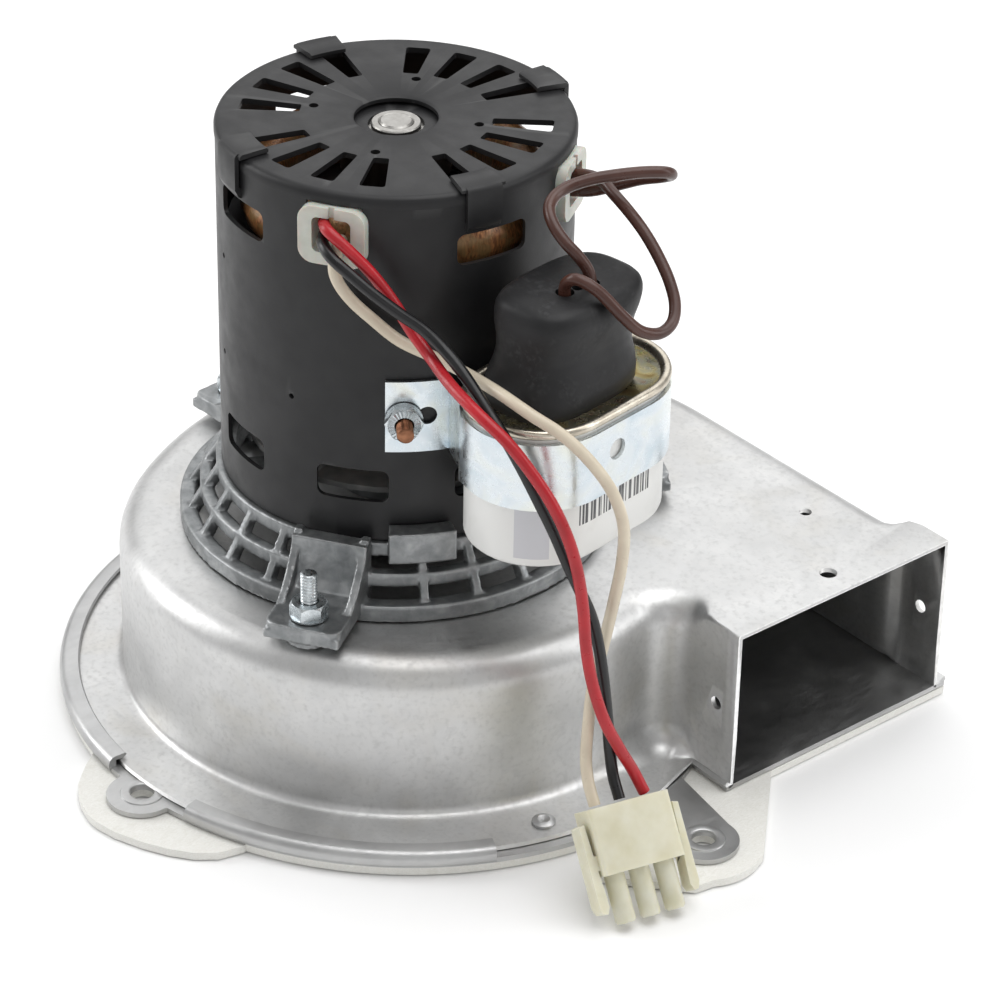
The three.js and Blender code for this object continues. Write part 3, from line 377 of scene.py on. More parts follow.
ROUTES = {
    "lead_white": [
        (24.1, -34.4, 141.2), (26, -37, 140.8), (26, -38.1, 136.4), (26.4, -37.4, 132.6),
        (28.2, -35, 127.8), (31.5, -31.4, 123), (36.6, -27.8, 118.6), (43.2, -23.8, 116.2),
        (53.4, -22.6, 116.2), (66.8, -23.2, 117), (76.6, -22.4, 115.8), (83.8, -18.5, 112),
        (88.9, -14, 105.2), (91.8, -10.6, 98), (93.4, -8.7, 89.6), (93.3, -8.7, 80.4),
        (92, -9.5, 69.6), (90.3, -10.6, 57.5), (90, -13.1, 47.2), (92, -15.9, 38.8),
        (95, -18.9, 31.2), (97.6, -20.2, 27), (100.9, -21, 22.8),
    ],
    "lead_red": [
        (20.5, -36.7, 144.8), (24.8, -38.9, 145.2), (30, -37.2, 142), (34.4, -33.8, 136.6),
        (38, -30.6, 130), (42, -28.4, 123.4), (48.5, -28.2, 119.6), (58.9, -30.8, 118.2),
        (69.8, -31.8, 116.2), (78.2, -30.3, 112.3), (83.6, -28.3, 107), (88, -25.5, 99.6),
        (91.2, -23.2, 91.2), (93, -21.6, 82.6), (94.2, -20.6, 72.8), (95, -20, 62.4),
        (96.4, -18.9, 52.9), (98.8, -17, 43.4), (100.3, -13.4, 35), (101.2, -10, 28.2),
        (103.9, -8.6, 22.9),
    ],
    "lead_black": [
        (20.4, -36.7, 141.4), (23.6, -39.4, 141.6), (28.4, -40.4, 140.2), (33.2, -38.6, 137.2),
        (38.2, -36, 133.6), (43, -32.6, 129.8), (47.2, -29, 126.2), (52.6, -27.2, 122.6),
        (59.6, -27.2, 119.4), (68, -27.5, 114.4), (74.6, -27.3, 109.6), (78.4, -25.9, 103.8),
        (81.9, -24, 96.6), (84.9, -21.9, 89.2), (87.8, -20, 81.4), (90.2, -18, 74.4),
        (92, -16, 67.6), (93.4, -14.8, 59.8), (94.6, -14, 50.7), (95.6, -13.4, 41),
        (97.2, -13.6, 32.6), (99, -14, 27.2), (102.4, -14.8, 22.8),
    ],
    "capacitor_wire_1": [
        (35.5, 22.4, 140.4), (40.4, 25.2, 141.4), (45.6, 28.4, 144), (50.6, 31.3, 146.6),
        (54.9, 33.6, 148.2), (58.6, 33.2, 150.4), (59.8, 30.2, 152.4), (57.9, 26, 153),
        (54.3, 20.2, 152.6), (51.2, 14.9, 151.8), (49.4, 10.2, 150.7), (49.7, 6, 149.7),
        (51.6, 2.9, 148.4), (55.2, 1.2, 146.5), (59.4, 1.2, 143.8), (62.6, 2.4, 141.2),
        (64.4, 3.7, 138.2), (65, 4.1, 135.6), (65, 4.15, 132.2),
    ],
    "capacitor_wire_2": [
        (35.6, 22.5, 144.6), (40.6, 24, 145.8), (45.9, 23.4, 146.6), (51.1, 22.6, 145.7),
        (56.5, 22.4, 143.7), (62.3, 22.2, 140.8), (67.9, 21.8, 136.9), (73, 20.8, 133),
        (76.9, 19.1, 129.4), (79.2, 16.3, 126.9), (79.8, 12.2, 125.9), (78.8, 7.4, 127.6),
        (76.8, 3.4, 132), (72.2, -0.4, 137.8), (67.8, -2.8, 139.4), (65, -3.2, 137),
        (64.8, -3.2, 132.6),
    ],
}
WIRE_STEPS = 6  # curve points between two route points


def smooth_route(points):
    """Points on a centripetal Catmull-Rom curve through the route, as the CAD tube follows."""
    ring = [Vector(p) for p in points]
    ring = [ring[0] * 2 - ring[1]] + ring + [ring[-1] * 2 - ring[-2]]
    out = []
    for i in range(1, len(ring) - 2):
        p0, p1, p2, p3 = ring[i - 1:i + 3]
        t1 = (p1 - p0).length ** 0.5
        t2 = t1 + (p2 - p1).length ** 0.5
        t3 = t2 + (p3 - p2).length ** 0.5
        for step in range(WIRE_STEPS):
            t = t1 + (t2 - t1) * step / WIRE_STEPS
            a1 = p0 * ((t1 - t) / t1) + p1 * (t / t1)
            a2 = p1 * ((t2 - t) / (t2 - t1)) + p2 * ((t - t1) / (t2 - t1))
            a3 = p2 * ((t3 - t) / (t3 - t2)) + p3 * ((t - t2) / (t3 - t2))
            b1 = a1 * ((t2 - t) / t2) + a2 * (t / t2)
            b2 = a2 * ((t3 - t) / (t3 - t1)) + a3 * ((t - t1) / (t3 - t1))
            out.append(b1 * ((t2 - t) / (t2 - t1)) + b2 * ((t - t1) / (t2 - t1)))
    out.append(ring[-2])
    return out


def make_wire(name, material):
    route = smooth_route(ROUTES[name])
    curve = bpy.data.curves.new(name + "_wire", "CURVE")
    curve.dimensions = "3D"
    curve.bevel_depth = LEAD_DIAMETER / 2 * MM
    curve.bevel_resolution = 5
    curve.use_fill_caps = True
    spline = curve.splines.new("POLY")
    spline.points.add(len(route) - 1)
    for point, place in zip(spline.points, route):
        point.co = (*to_world(place), 1)
    spline.use_smooth = True
    curve.materials.append(MATERIALS[material])
    wire = bpy.data.objects.new(name + "_wire", curve)
    bpy.context.scene.collection.objects.link(wire)
    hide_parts(name)
    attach(wire, FIXED)
    length = sum((b - a).length for a, b in zip(route, route[1:])) * MM
    return wire, length, to_world(route[0])


WIRE_MATERIALS = dict(lead_white="white_wire", lead_red="red_wire", lead_black="black_wire",
                      capacitor_wire_1="brown_wire", capacitor_wire_2="brown_wire")
wires = {name: make_wire(name, material) for name, material in WIRE_MATERIALS.items()}


# ---- mesh helpers ----

def join_rings(bm, rings, capped=True):
    """Joins each ring of vertices to the next with faces, and closes the two end rings."""
    for here, there in zip(rings, rings[1:]):
        for j in range(len(here)):
            k = (j + 1) % len(here)
            bm.faces.new((here[j], here[k], there[k], there[j]))
    if capped:
        bm.faces.new(list(reversed(rings[0])))
        bm.faces.new(rings[-1])


def closed_lathe(bm, outline, segments=96, start=0.0, sweep=360.0, x=0.0, y=0.0):
    """Turns a closed outline of (radius, height) points about an upright axis at x, y."""
    whole = sweep >= 360
    grid = []
    for i in range(segments if whole else segments + 1):
        angle = start + sweep * i / segments
        grid.append([bm.verts.new((*polar(r, angle, x, y), z)) for r, z in outline])
    join_rings(bm, grid + grid[:1] if whole else grid, capped=not whole)
    return [v for column in grid for v in column]


def slab(bm, outer, bottom, top, holes=()):
    """A flat plate with upright sides, from outlines of (x, y) points."""
    loops = [outer, *holes]
    flat = [p for loop in loops for p in loop]
    low = [bm.verts.new((x, y, bottom)) for x, y in flat]
    high = [bm.verts.new((x, y, top)) for x, y in flat]
    for a, b, c in tessellate_polygon([[(x, y, 0) for x, y in loop] for loop in loops]):
        bm.faces.new((high[a], high[b], high[c]))
        bm.faces.new((low[c], low[b], low[a]))
    first = 0
    for loop in loops:
        count = len(loop)
        for i in range(count):
            a, b = first + i, first + (i + 1) % count
            bm.faces.new((low[a], low[b], high[b], high[a]))
        first += count
    return low + high


def prism(bm, section, depth, matrix):
    """A closed section of (x, y) points, given a depth along Z and placed by a matrix."""
    low = [bm.verts.new(matrix @ Vector((x, y, 0))) for x, y in section]
    high = [bm.verts.new(matrix @ Vector((x, y, depth))) for x, y in section]
    bm.faces.new(list(reversed(low)))
    bm.faces.new(high)
    count = len(section)
    for i in range(count):
        j = (i + 1) % count
        bm.faces.new((low[i], low[j], high[j], high[i]))
    return low + high


def circle(radius, count=48, x=0.0, y=0.0, first=0.0):
    return [polar(radius, first + 360 * i / count, x, y) for i in range(count)]


def arc(radius, start, end, count, x=0.0, y=0.0):
    return [polar(radius, start + (end - start) * i / count, x, y) for i in range(count + 1)]


def rounded_rect(width, height, radius, count=6):
    points = []
    for cx, cy, start in ((1, 1, 0), (-1, 1, 90), (-1, -1, 180), (1, -1, 270)):
        points += arc(radius, start, start + 90, count,
                      cx * (width / 2 - radius), cy * (height / 2 - radius))
    return points


def oval(grow, count=24):
    radius = CAN["width"] / 2 + grow
    half = (CAN["length"] - CAN["width"]) / 2
    return arc(radius, 0, 180, count, 0, half) + arc(radius, 180, 360, count, 0, -half)


def rod(bm, radius, bottom, top, matrix=Matrix(), segments=32):
    return prism(bm, circle(radius, segments), top - bottom, matrix @ Matrix.Translation((0, 0, bottom)))


def facing_out(degrees, radius, z):
    """Local X runs round the shaft, local Y up, and local Z outwards."""
    out = Vector((*polar(1, degrees), 0))
    side = Vector((-out.y, out.x, 0))
    turn = Matrix((side, Vector((0, 0, 1)), out)).transposed().to_4x4()
    return Matrix.Translation((out.x * radius, out.y * radius, z)) @ turn


def upright(degrees):
    return Matrix.Rotation(math.radians(degrees), 4, "Z")


def scratch_object(bm, name="scratch"):
    mesh = bpy.data.meshes.new(name)
    bmesh.ops.recalc_face_normals(bm, faces=bm.faces)
    bm.to_mesh(mesh)
    bm.free()
    thing = bpy.data.objects.new(name, mesh)
    bpy.context.scene.collection.objects.link(thing)
    return thing


def result_mesh(thing):
    """The object's mesh with its modifiers applied, as a new bmesh; the object is removed."""
    bpy.context.view_layer.update()
    evaluated = thing.evaluated_get(bpy.context.evaluated_depsgraph_get())
    bm = bmesh.new()
    bm.from_mesh(evaluated.to_mesh())
    evaluated.to_mesh_clear()
    mesh = thing.data
    bpy.data.objects.remove(thing)
    bpy.data.meshes.remove(mesh)
    return bm


def boolean(body, tool, operation="DIFFERENCE"):
    body_object = scratch_object(body, "body")
    tool_object = scratch_object(tool, "tool")
    modifier = body_object.modifiers.new("boolean", "BOOLEAN")
    modifier.operation = operation
    modifier.solver = "EXACT"
    modifier.use_self = True
    modifier.object = tool_object
    result = result_mesh(body_object)
    mesh = tool_object.data
    bpy.data.objects.remove(tool_object)
    bpy.data.meshes.remove(mesh)
    return result


def finish_piece(name, bm, material, nodes, body=FIXED, bevel=0.25, segments=2, angle=32):
    """Moves the mesh to the row frame in metres, and makes it a piece that stands for its nodes."""
    bmesh.ops.recalc_face_normals(bm, faces=bm.faces)
    for vertex in bm.verts:
        vertex.co = to_world(vertex.co)
    for face in bm.faces:
        face.smooth = True
    if not bevel:
        for edge in bm.edges:
            if len(edge.link_faces) == 2 and edge.calc_face_angle(0) > math.radians(angle):
                edge.smooth = False
    mesh = bpy.data.meshes.new(name)
    bm.to_mesh(mesh)
    bm.free()
    mesh.materials.append(MATERIALS[material])
    piece = bpy.data.objects.new(name, mesh)
    bpy.context.scene.collection.objects.link(piece)
    if bevel:
        modifier = piece.modifiers.new("edges", "BEVEL")
        modifier.width = bevel * MM
        modifier.segments = segments
        modifier.limit_method = "ANGLE"
        modifier.angle_limit = math.radians(angle)
        modifier.harden_normals = True
    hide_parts(*nodes)
    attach(piece, body)
    return piece


# ---- scroll housing, back plate and gasket ----

FOOT_FLARE = 2.4  # radius where the wall turns out into the lip


def bezier(a, b, c, d, count):
    a, b, c, d = (Vector(p) for p in (a, b, c, d))
    out = []
    for i in range(1, count + 1):
        t = i / count
        p = a * (1 - t) ** 3 + 3 * b * t * (1 - t) ** 2 + 3 * c * t * t * (1 - t) + d * t ** 3
        out.append(tuple(p))
    return out


def scroll_outline():
    """From the near side of the duct's mouth, round the drum, to the far side of the mouth."""
    near, far, mouth = DUCT["near"], DUCT["far"], DUCT["outlet"]
    dy = near - DUCT["corner"] - DRUM["y"]
    dx = math.sqrt((DRUM["radius"] + DUCT["corner"]) ** 2 - dy ** 2)
    meet = math.degrees(math.atan2(dy, dx))
    left, end, handle = (-71.3, 5), (10, far), 13.5
    points = [(mouth - back, near) for back in (0, 4, 8, 12)]
    points += arc(DUCT["corner"], 90, 180 + meet, 12, DRUM["x"] + dx, near - DUCT["corner"])
    points += arc(DRUM["radius"], meet, -150, 64, DRUM["x"], DRUM["y"])[1:]
    start = points[-1]
    points += bezier(start, (start[0] - handle * 0.5, start[1] + handle * 0.866),
                     (left[0], left[1] - handle), left, 10)
    points += bezier(left, (left[0], left[1] + 0.55 * (end[1] - left[1])),
                     (end[0] - 0.55 * (end[0] - left[0]), end[1]), end, 40)
    points += [(x, far) for x in (24, 38, 52, 66, 74)]
    points += [(77.5, far + 0.1), (79, far + 0.7), (81, far + 1.7)]
    return points + [(x, DUCT["flare"]) for x in (82.5, 86, 90, mouth)]


def outward(points):
    """The direction square to the path at each of its points, on its left."""
    normals = []
    for i in range(len(points)):
        before = Vector(points[max(i - 1, 0)])
        after = Vector(points[min(i + 1, len(points) - 1)])
        along = (after - before).normalized()
        normals.append(Vector((-along.y, along.x)))
    return normals


def smoothstep(low, high, value):
    t = min(max((value - low) / (high - low), 0), 1)
    return t * t * (3 - 2 * t)


def plate_outline(radius):
    """A disc, run out along the scroll's far side and straight to the duct's mouth."""
    mouth, near, far = DUCT["outlet"], PLATE["near"], PLATE["far"]
    start, pull, join = Vector((20, far)), Vector((-40, far + 0.5)), Vector((-66, 54))
    outline = [(mouth, near), (mouth, far), tuple(start)]
    for i in range(1, 17):
        t = i / 16
        outline.append(tuple(start * (1 - t) ** 2 + 2 * pull * t * (1 - t) + join * t * t))
    outline += arc(radius, 146, 366, 110, PLATE["x"], PLATE["y"])
    return outline + [(82.5, near)]


def wall_profile(x, y):
    """The wall at a point of the outline: (outward step, height) from its flared foot to its crown."""
    square = smoothstep(77, 85, x)
    trough = 0
    if x > 60 and y <= DUCT["near"]:
        trough = smoothstep(4, 16, y) * (1 - smoothstep(77, 83, x))
    flare = FOOT_FLARE * (1 - smoothstep(78.5, 82, x)) + DUCT["trough_foot"] * trough
    crown = DRUM["round"] * (1 - square) + 0.7 * square
    foot, top = LIP["top"] - 1.0 * square, DRUM["top"] - crown
    rows = []
    for k in range(5):
        a = math.radians(22.5 * k)
        rows.append((flare * (1 - math.sin(a)), foot + flare * (1 - math.cos(a))))
    rows += [(0, foot + flare + (top - foot - flare) * t) for t in (0.3, 0.6)]
    for k in range(8):
        a = math.radians(90 * k / 7)
        rows.append((-crown * (1 - math.cos(a)), top + crown * math.sin(a)))
    return rows


def fill(bm, loop):
    """Covers a level loop of vertices with triangles."""
    for a, b, c in tessellate_polygon([[(v.co.x, v.co.y, 0) for v in loop]]):
        bm.faces.new((loop[a], loop[b], loop[c]))


def housing_skin():
    """The outer side of the drawn sheet: wall, top and lip, as one open surface."""
    outline = scroll_outline()
    bm = bmesh.new()
    columns = []
    for (x, y), n in zip(outline, outward(outline)):
        columns.append([bm.verts.new((x + n.x * o, y + n.y * o, z)) for o, z in wall_profile(x, y)])
    for here, there in zip(columns, columns[1:]):
        for j in range(len(here) - 1):
            bm.faces.new((here[j], there[j], there[j + 1], here[j + 1]))
    fill(bm, [column[-1] for column in columns])
    lip = [bm.verts.new((x, y, LIP["top"])) for x, y in plate_outline(LIP["edge"])]
    fill(bm, [column[0] for column in columns] + lip[1:] + lip[:1])
    bmesh.ops.recalc_face_normals(bm, faces=bm.faces)
    up = [f for f in bm.faces if f.calc_center_median().z > DRUM["top"] - 0.01]
    if up[0].normal.z < 0:
        bmesh.ops.reverse_faces(bm, faces=bm.faces)
    return bm


def make_housing():
    bm = housing_skin()
    mesh = bpy.data.meshes.new("sheet")
    bm.to_mesh(mesh)
    bm.free()
    sheet = bpy.data.objects.new("sheet", mesh)
    bpy.context.scene.collection.objects.link(sheet)
    thick = sheet.modifiers.new("sheet", "SOLIDIFY")
    thick.thickness = DRUM["sheet"]
    thick.offset = -1
    tools = bmesh.new()
    for radius, x, y in ((2.2, 87.7, 63.1), (1.6, 64.1, 77.8), (9, 0, 0)):
        rod(tools, radius, 40, 52, Matrix.Translation((x, y, 0)))
    across = Matrix.Translation((88.5, 0, 24)) @ Matrix.Rotation(math.radians(-90), 4, "X")
    rod(tools, 1.7, 20, 110, across)
    finish_piece("scroll_housing_sheet", boolean(result_mesh(sheet), tools), "galvanised",
                 ["scroll_housing"], bevel=0.12, segments=1, angle=45)


EARS = [
    dict(angle=-85.5, reach=86.8, tip=8.5, base=17),
    dict(angle=3.5, reach=103, tip=8.5, base=16.5),
    dict(angle=138, reach=90, tip=8.5, base=17),
]
HEMS = [(146, 266), (284, 335)]  # from and to, in degrees
GASKET_LOBE = [  # under the front ear
    (0, -60), (-14, -70), (-11.5, -83.3), (-8.6, -87.4), (-5.7, -90.7), (-3.1, -93.4), (-0.2, -95.3),
    (3.4, -97), (7.1, -98), (12.5, -98.4), (17.8, -97.4), (25, -94.6), (31, -91.4), (36, -87.6),
    (39.5, -83), (41, -77), (38, -60),
]
GASKET_CORNER = [  # under the duct
    (70, 20), (88, 47), (95, 41), (117, 18.3), (118.6, 16.6), (119.3, 14.6), (119.6, 6), (118, -4),
    (100, -20),
]


def ear_slab(bm, ear, grow, bottom, top):
    tip = ear["tip"] + grow
    section = [(70, -ear["base"] - grow)]
    section += arc(tip, -90, 90, 20, ear["reach"], 0)
    section += [(70, ear["base"] + grow)]
    place = Matrix.Translation((PLATE["x"], PLATE["y"], bottom)) @ upright(ear["angle"])
    return prism(bm, section, top - bottom, place)


def ear_hole(ear):
    return polar(ear["reach"], ear["angle"], PLATE["x"], PLATE["y"])


def ear_drills(radius):
    tools = bmesh.new()
    for ear in EARS:
        rod(tools, radius, -5, 10, Matrix.Translation((*ear_hole(ear), 0)))
    return tools


def make_plate():
    body = bmesh.new()
    slab(body, plate_outline(PLATE["radius"] - 0.5), PLATE["bottom"], PLATE["top"],
         [circle(PLATE["inlet"], 96)])
    ears = bmesh.new()
    for ear in EARS:
        ear_slab(ears, ear, 0, PLATE["bottom"], PLATE["top"])
    plate = boolean(boolean(body, ears, "UNION"), ear_drills(2.9))
    inner, outer, top = PLATE["hem_inner"], PLATE["radius"], PLATE["hem_top"]
    section = [(inner + 1.1, 5.1), (inner + 0.4, 5.6), (inner, top - 0.5), (inner + 0.4, top),
               (outer - 1.8, top), (outer - 0.9, top - 0.3), (outer - 0.25, top - 1.0),
               (outer, top - 1.9), (outer, 3.4), (outer - 0.3, 2.7), (outer - 0.9, 2.35),
               (outer - 2, 2.35), (outer - 2, 5.3)]
    for start, end in HEMS:
        closed_lathe(plate, section, end - start, start, end - start, PLATE["x"], PLATE["y"])
    coined = [(3, PLATE["top"] - 0.2), (5.4, PLATE["top"] - 0.2), (5.1, PLATE["top"] + 0.25),
              (3.4, PLATE["top"] + 0.45), (3, PLATE["top"] + 0.25)]
    for ear in EARS:
        closed_lathe(plate, coined, 40, x=ear_hole(ear)[0], y=ear_hole(ear)[1])
    finish_piece("plate_sheet", plate, "plate", ["back_plate"], bevel=0.15, segments=1,
                 angle=40)


def make_gasket():
    body = bmesh.new()
    slab(body, plate_outline(PLATE["radius"] - 1), 0, 2, [circle(PLATE["inlet"] + 4, 96)])
    lobes = bmesh.new()
    for outline in (GASKET_LOBE, GASKET_CORNER):
        prism(lobes, outline, 2, Matrix())
    for ear in EARS:
        ear_slab(lobes, ear, 5.5, 0, 2)
    gasket = boolean(boolean(body, lobes, "UNION"), ear_drills(3.4))
    finish_piece("gasket_board", gasket, "gasket", ["gasket"], bevel=0.35, segments=2,
                 angle=40)


def make_rivets():
    dome = [(2.8, 5.05), (2.8, 5.7), (2.3, 6.05), (1.5, 6.2), (1.1, 6.0), (0.01, 5.85), (0.01, 5.05)]
    for number, angle in enumerate((-15, 168), 1):
        x, y = polar(79, angle, PLATE["x"], PLATE["y"])
        bm = bmesh.new()
        closed_lathe(bm, dome, 32, x=x, y=y)
        finish_piece(f"clinch_{number}", bm, "plate", [f"rivet_{number}"], bevel=0)


make_housing()
make_plate()
make_gasket()
make_rivets()


# ---- motor bracket ----

SIDEWAYS = Matrix.Rotation(math.radians(90), 4, "X")  # stands a section on its edge
BRACKET_RINGS = (  # inner and outer radius, bottom and top
    (48.4, 52.4, 46.6, 50.7), (44.3, 47.4, 53.2, 56.6), (38, 43.4, 59, MOTOR["bottom"] - 0.3),
)
RIB = [(42, 59.2), (49.2, 46.8), (51.6, 46.8), (51.2, 49.8), (43.2, 62), (42, 62)]
LEG_BACK = [(43.8, 49), (55.4, 49), (55.4, 52.3), (52, 53), (49.8, 55), (48.5, 58.5), (47.8, 64.4),
            (43.8, 64.4)]
CAST_GRAIN = 0.42  # voxel size that melts the casting's parts into one


def radial_prism(bm, section, width, angle, offset=0):
    """A section of (radius, height) points, given a width across the radius at an angle."""
    place = upright(angle) @ Matrix.Translation((0, offset + width / 2, 0)) @ SIDEWAYS
    prism(bm, section, width, place)


def bracket_leg(bm, angle):
    """Two curved wings, the wall between them, a foot with rounded corners, and a boss below it."""
    half, foot_bottom = LEGS["width"] / 2, LEGS["foot_bottom"]
    curve = [(46 + 21.5 * t, 65.2 - 14.7 * (1 - (1 - t) ** 2.4)) for t in (i / 12 for i in range(13))]
    wing = [(43.8, 65.2)] + curve + [(67.5, foot_bottom), (43.8, foot_bottom)]
    for side in (-1, 1):
        radial_prism(bm, wing, 2, angle, side * (half - 1))
    radial_prism(bm, LEG_BACK, 2 * half, angle)
    foot = [(44.5, -half), (64.5, -half)] + arc(3, -90, 0, 4, 64.5, -half + 3)
    foot += arc(3, 0, 90, 4, 64.5, half - 3) + [(64.5, half), (44.5, half)]
    prism(bm, foot, 4, upright(angle) @ Matrix.Translation((0, 0, foot_bottom)))
    boss = Matrix.Translation((*polar(LEGS["bolt"], angle), 0))
    rod(bm, 5.6, DRUM["top"] + 0.3, 49, boss)


def bracket_hub(bm):
    """The cup that holds the lower bearing, and the three arms that carry it."""
    closed_lathe(bm, [(38.2, 61.5), (40.6, 61.5), (40.6, 66), (38.2, 66)], 96)
    closed_lathe(bm, [(11.3, 56), (14.5, 56), (14.5, 70), (11.3, 70)], 48)
    closed_lathe(bm, [(5.2, 56), (14.5, 56), (14.5, 58.2), (5.2, 58.2)], 48)
    for angle in (3, 123, 243):
        arm = upright(angle) @ Matrix.Translation((0, 0, 59))
        prism(bm, [(13, -4), (39.5, -4), (39.5, 4), (13, 4)], 3, arm)


def make_bracket():
    bm = bmesh.new()
    for inner, outer, bottom, top in BRACKET_RINGS:
        closed_lathe(bm, [(inner, bottom), (outer, bottom), (outer, top), (inner, top)], 120)
    for angle in range(0, 360, 15):
        near_leg = any(abs((angle - leg + 540) % 360 - 180) < 14 for leg in LEGS["angles"])
        if not near_leg:
            radial_prism(bm, RIB, 2, angle)
    holes = bmesh.new()
    for leg in LEGS["angles"]:
        bracket_leg(bm, leg)
        rod(holes, 2.35, 40, 70, Matrix.Translation((*polar(LEGS["bolt"], leg), 0)))
    closed_lathe(bm, [(42.4, 59.4), (47.5, 59.4), (47.5, 67.4), (42.4, 67.4)], 10, -40, 19.7)
    bracket_hub(bm)
    casting = scratch_object(bm, "casting")
    remesh = casting.modifiers.new("voxels", "REMESH")
    remesh.mode = "VOXEL"
    remesh.voxel_size = CAST_GRAIN
    remesh.adaptivity = 0.0
    soft = casting.modifiers.new("soft", "SMOOTH")
    soft.factor = 0.5
    soft.iterations = 1
    body = boolean(result_mesh(casting), holes)
    finish_piece("bracket_casting", body, "cast_zinc", ["motor_bracket"], bevel=0, angle=50)


def thread(bm, radius, bottom, top, matrix, pitch=0.85, segments=24):
    """A screw thread: a helix of ridges on a rod, closed by flat ends."""
    turns = (top - bottom) / pitch
    rings = []
    steps = int(turns * 6)
    for i in range(steps + 1):
        z = bottom + (top - bottom) * i / steps
        ring = []
        for j in range(segments):
            phase = (z / pitch + j / segments) % 1
            depth = 0.32 * abs(2 * phase - 1)
            end = 0.45 if i in (0, steps) else 0
            a = 2 * math.pi * j / segments
            r = radius - depth - end
            ring.append(bm.verts.new(matrix @ Vector((r * math.cos(a), r * math.sin(a), z))))
        rings.append(ring)
    join_rings(bm, rings)


def radial_teeth(bm, inner, outer, height, teeth=26):
    """A ring whose sloping upper face rises and falls once for each tooth."""
    rim, hub = [], []
    for i in range(teeth * 2):
        lift = 0.30 if i % 2 else 0.0
        rim.append(bm.verts.new((*polar(outer, 180 * i / teeth), height + 0.05 + lift)))
        hub.append(bm.verts.new((*polar(inner, 180 * i / teeth), height + 0.62 + lift * 0.5)))
    low_rim = [bm.verts.new((v.co.x, v.co.y, height - 0.3)) for v in rim]
    low_hub = [bm.verts.new((v.co.x, v.co.y, height - 0.3)) for v in hub]
    join_rings(bm, [low_hub, low_rim, rim, hub, low_hub], capped=False)


def hex_nut(matrix, radius, height, bore, serrated=False):
    """A chamfered hexagon nut on a thin flange. A serrated one wears radial teeth on its face."""
    hexagon = bmesh.new()
    rod(hexagon, radius, 0.3, height, Matrix(), 6)
    cone = bmesh.new()
    closed_lathe(cone, [(0.01, 0.2), (radius - 0.2, 0.2), (radius + 0.1, 0.7), (radius + 0.1, height - 0.8),
                        (radius - 0.65, height + 0.05), (0.01, height + 0.05)], 48)
    solid = boolean(hexagon, cone, "INTERSECT")
    closed_lathe(solid, [(0.01, 0.02), (radius - 0.15, 0.02), (radius - 0.15, 0.45), (0.01, 0.45)], 48)
    if serrated:
        radial_teeth(solid, bore + 0.1, radius - 0.75, height)
    hole = bmesh.new()
    rod(hole, bore, -1, height + 2)
    solid = boolean(solid, hole)
    bmesh.ops.transform(solid, matrix=matrix, verts=solid.verts)
    return solid


def screw_and_nut(group, number, material, ends, place, nut):
    """A threaded screw between two heights of its own axis, and the nut that is on it."""
    stud = bmesh.new()
    thread(stud, 2.05, *ends, place)
    finish_piece(f"{group}_screw_{number}", stud, material, [f"{group}_stud_{number}"], bevel=0,
                 angle=60)
    finish_piece(f"{group}_hexnut_{number}", nut, "screw_steel",
                 [f"{group}_nut_{number}"], bevel=0.08, segments=1, angle=30)


def make_bracket_fasteners():
    for number, leg in enumerate(LEGS["angles"], 1):
        place = Matrix.Translation((*polar(LEGS["bolt"], leg), 0))
        nut = hex_nut(place @ Matrix.Translation((0, 0, 52.5)), 4.6, 3.9, 2.35)
        screw_and_nut("bracket", number, "screw_steel", (45.2, 64), place, nut)


make_bracket()
make_bracket_fasteners()


# ---- motor shell, end cap and what shows through their openings ----

GROMMET_ANGLES = dict(lead_grommet=-57.6, capacitor_grommet=32.4)


def make_shell():
    bm = bmesh.new()
    inner, outer = MOTOR["radius"] - MOTOR["sheet"], MOTOR["radius"]
    rows = [MOTOR["bottom"], 70, 73, 76, 79, 83, 90, 95, 99, 106, 113, 120, 125, 130, 134, 138, 142, 146,
            MOTOR["top"]]
    outline = [(outer, z) for z in rows] + [(inner, z) for z in reversed(rows)]
    closed_lathe(bm, outline, 160)
    tools = bmesh.new()
    for window, count in ((UPPER_WINDOW, 4), (LOWER_WINDOW, 8)):
        outline = rounded_rect(window["width"], window["height"], 1.9)
        for i in range(count):
            prism(tools, outline, 8, facing_out(window["first"] + 360 / count * i, 38, window["z"]))
    for angle in GROMMET_ANGLES.values():
        prism(tools, rounded_rect(13.4, 30, 2), 8, facing_out(angle, 38, 152.6))
    for angle, z in ((-109.8, 122.6), (-111.1, 96.6), (-73, 97.3)):
        rod(tools, 0.7, 0, 8, facing_out(angle, 38, z), 12)
    shell = boolean(bm, tools)
    for i in range(4):
        cap_tab(shell, TAB["first"] + 90 * i)
    finish_piece("shell_can", shell, "black_paint", ["motor_shell"], bevel=0.22, angle=40)


def cap_tab(bm, angle):
    """A strip of the shell, stepped out past the cap's rim, with a wide head folded onto the cap."""
    top = CAP["top"] + 0.1
    out = CAP["radius"] + 0.3
    foot = TAB["foot"]
    section = [(41.2, foot + 0.1), (41.9, foot), (42.7, foot + 0.5), (out + 1.1, foot + 2.4),
               (out + 1.1, top + 0.2), (out + 0.8, top + 0.9), (out + 0.1, top + 1.3), (39.5, top + 1.3),
               (39.5, top + 0.2), (out - 0.5, top + 0.2), (out, top - 0.4), (out, foot + 3),
               (41.2, foot + 1.4)]
    closed_lathe(bm, section, 8, angle - TAB["width"] / 2, TAB["width"])
    head = [(35.2, top + 0.15), (42.9, top + 0.15), (42.9, top + 0.9), (42.3, top + 1.35),
            (35.7, top + 1.35), (35.2, top + 1.0)]
    closed_lathe(bm, head, 8, angle - TAB["head"] / 2, TAB["head"])


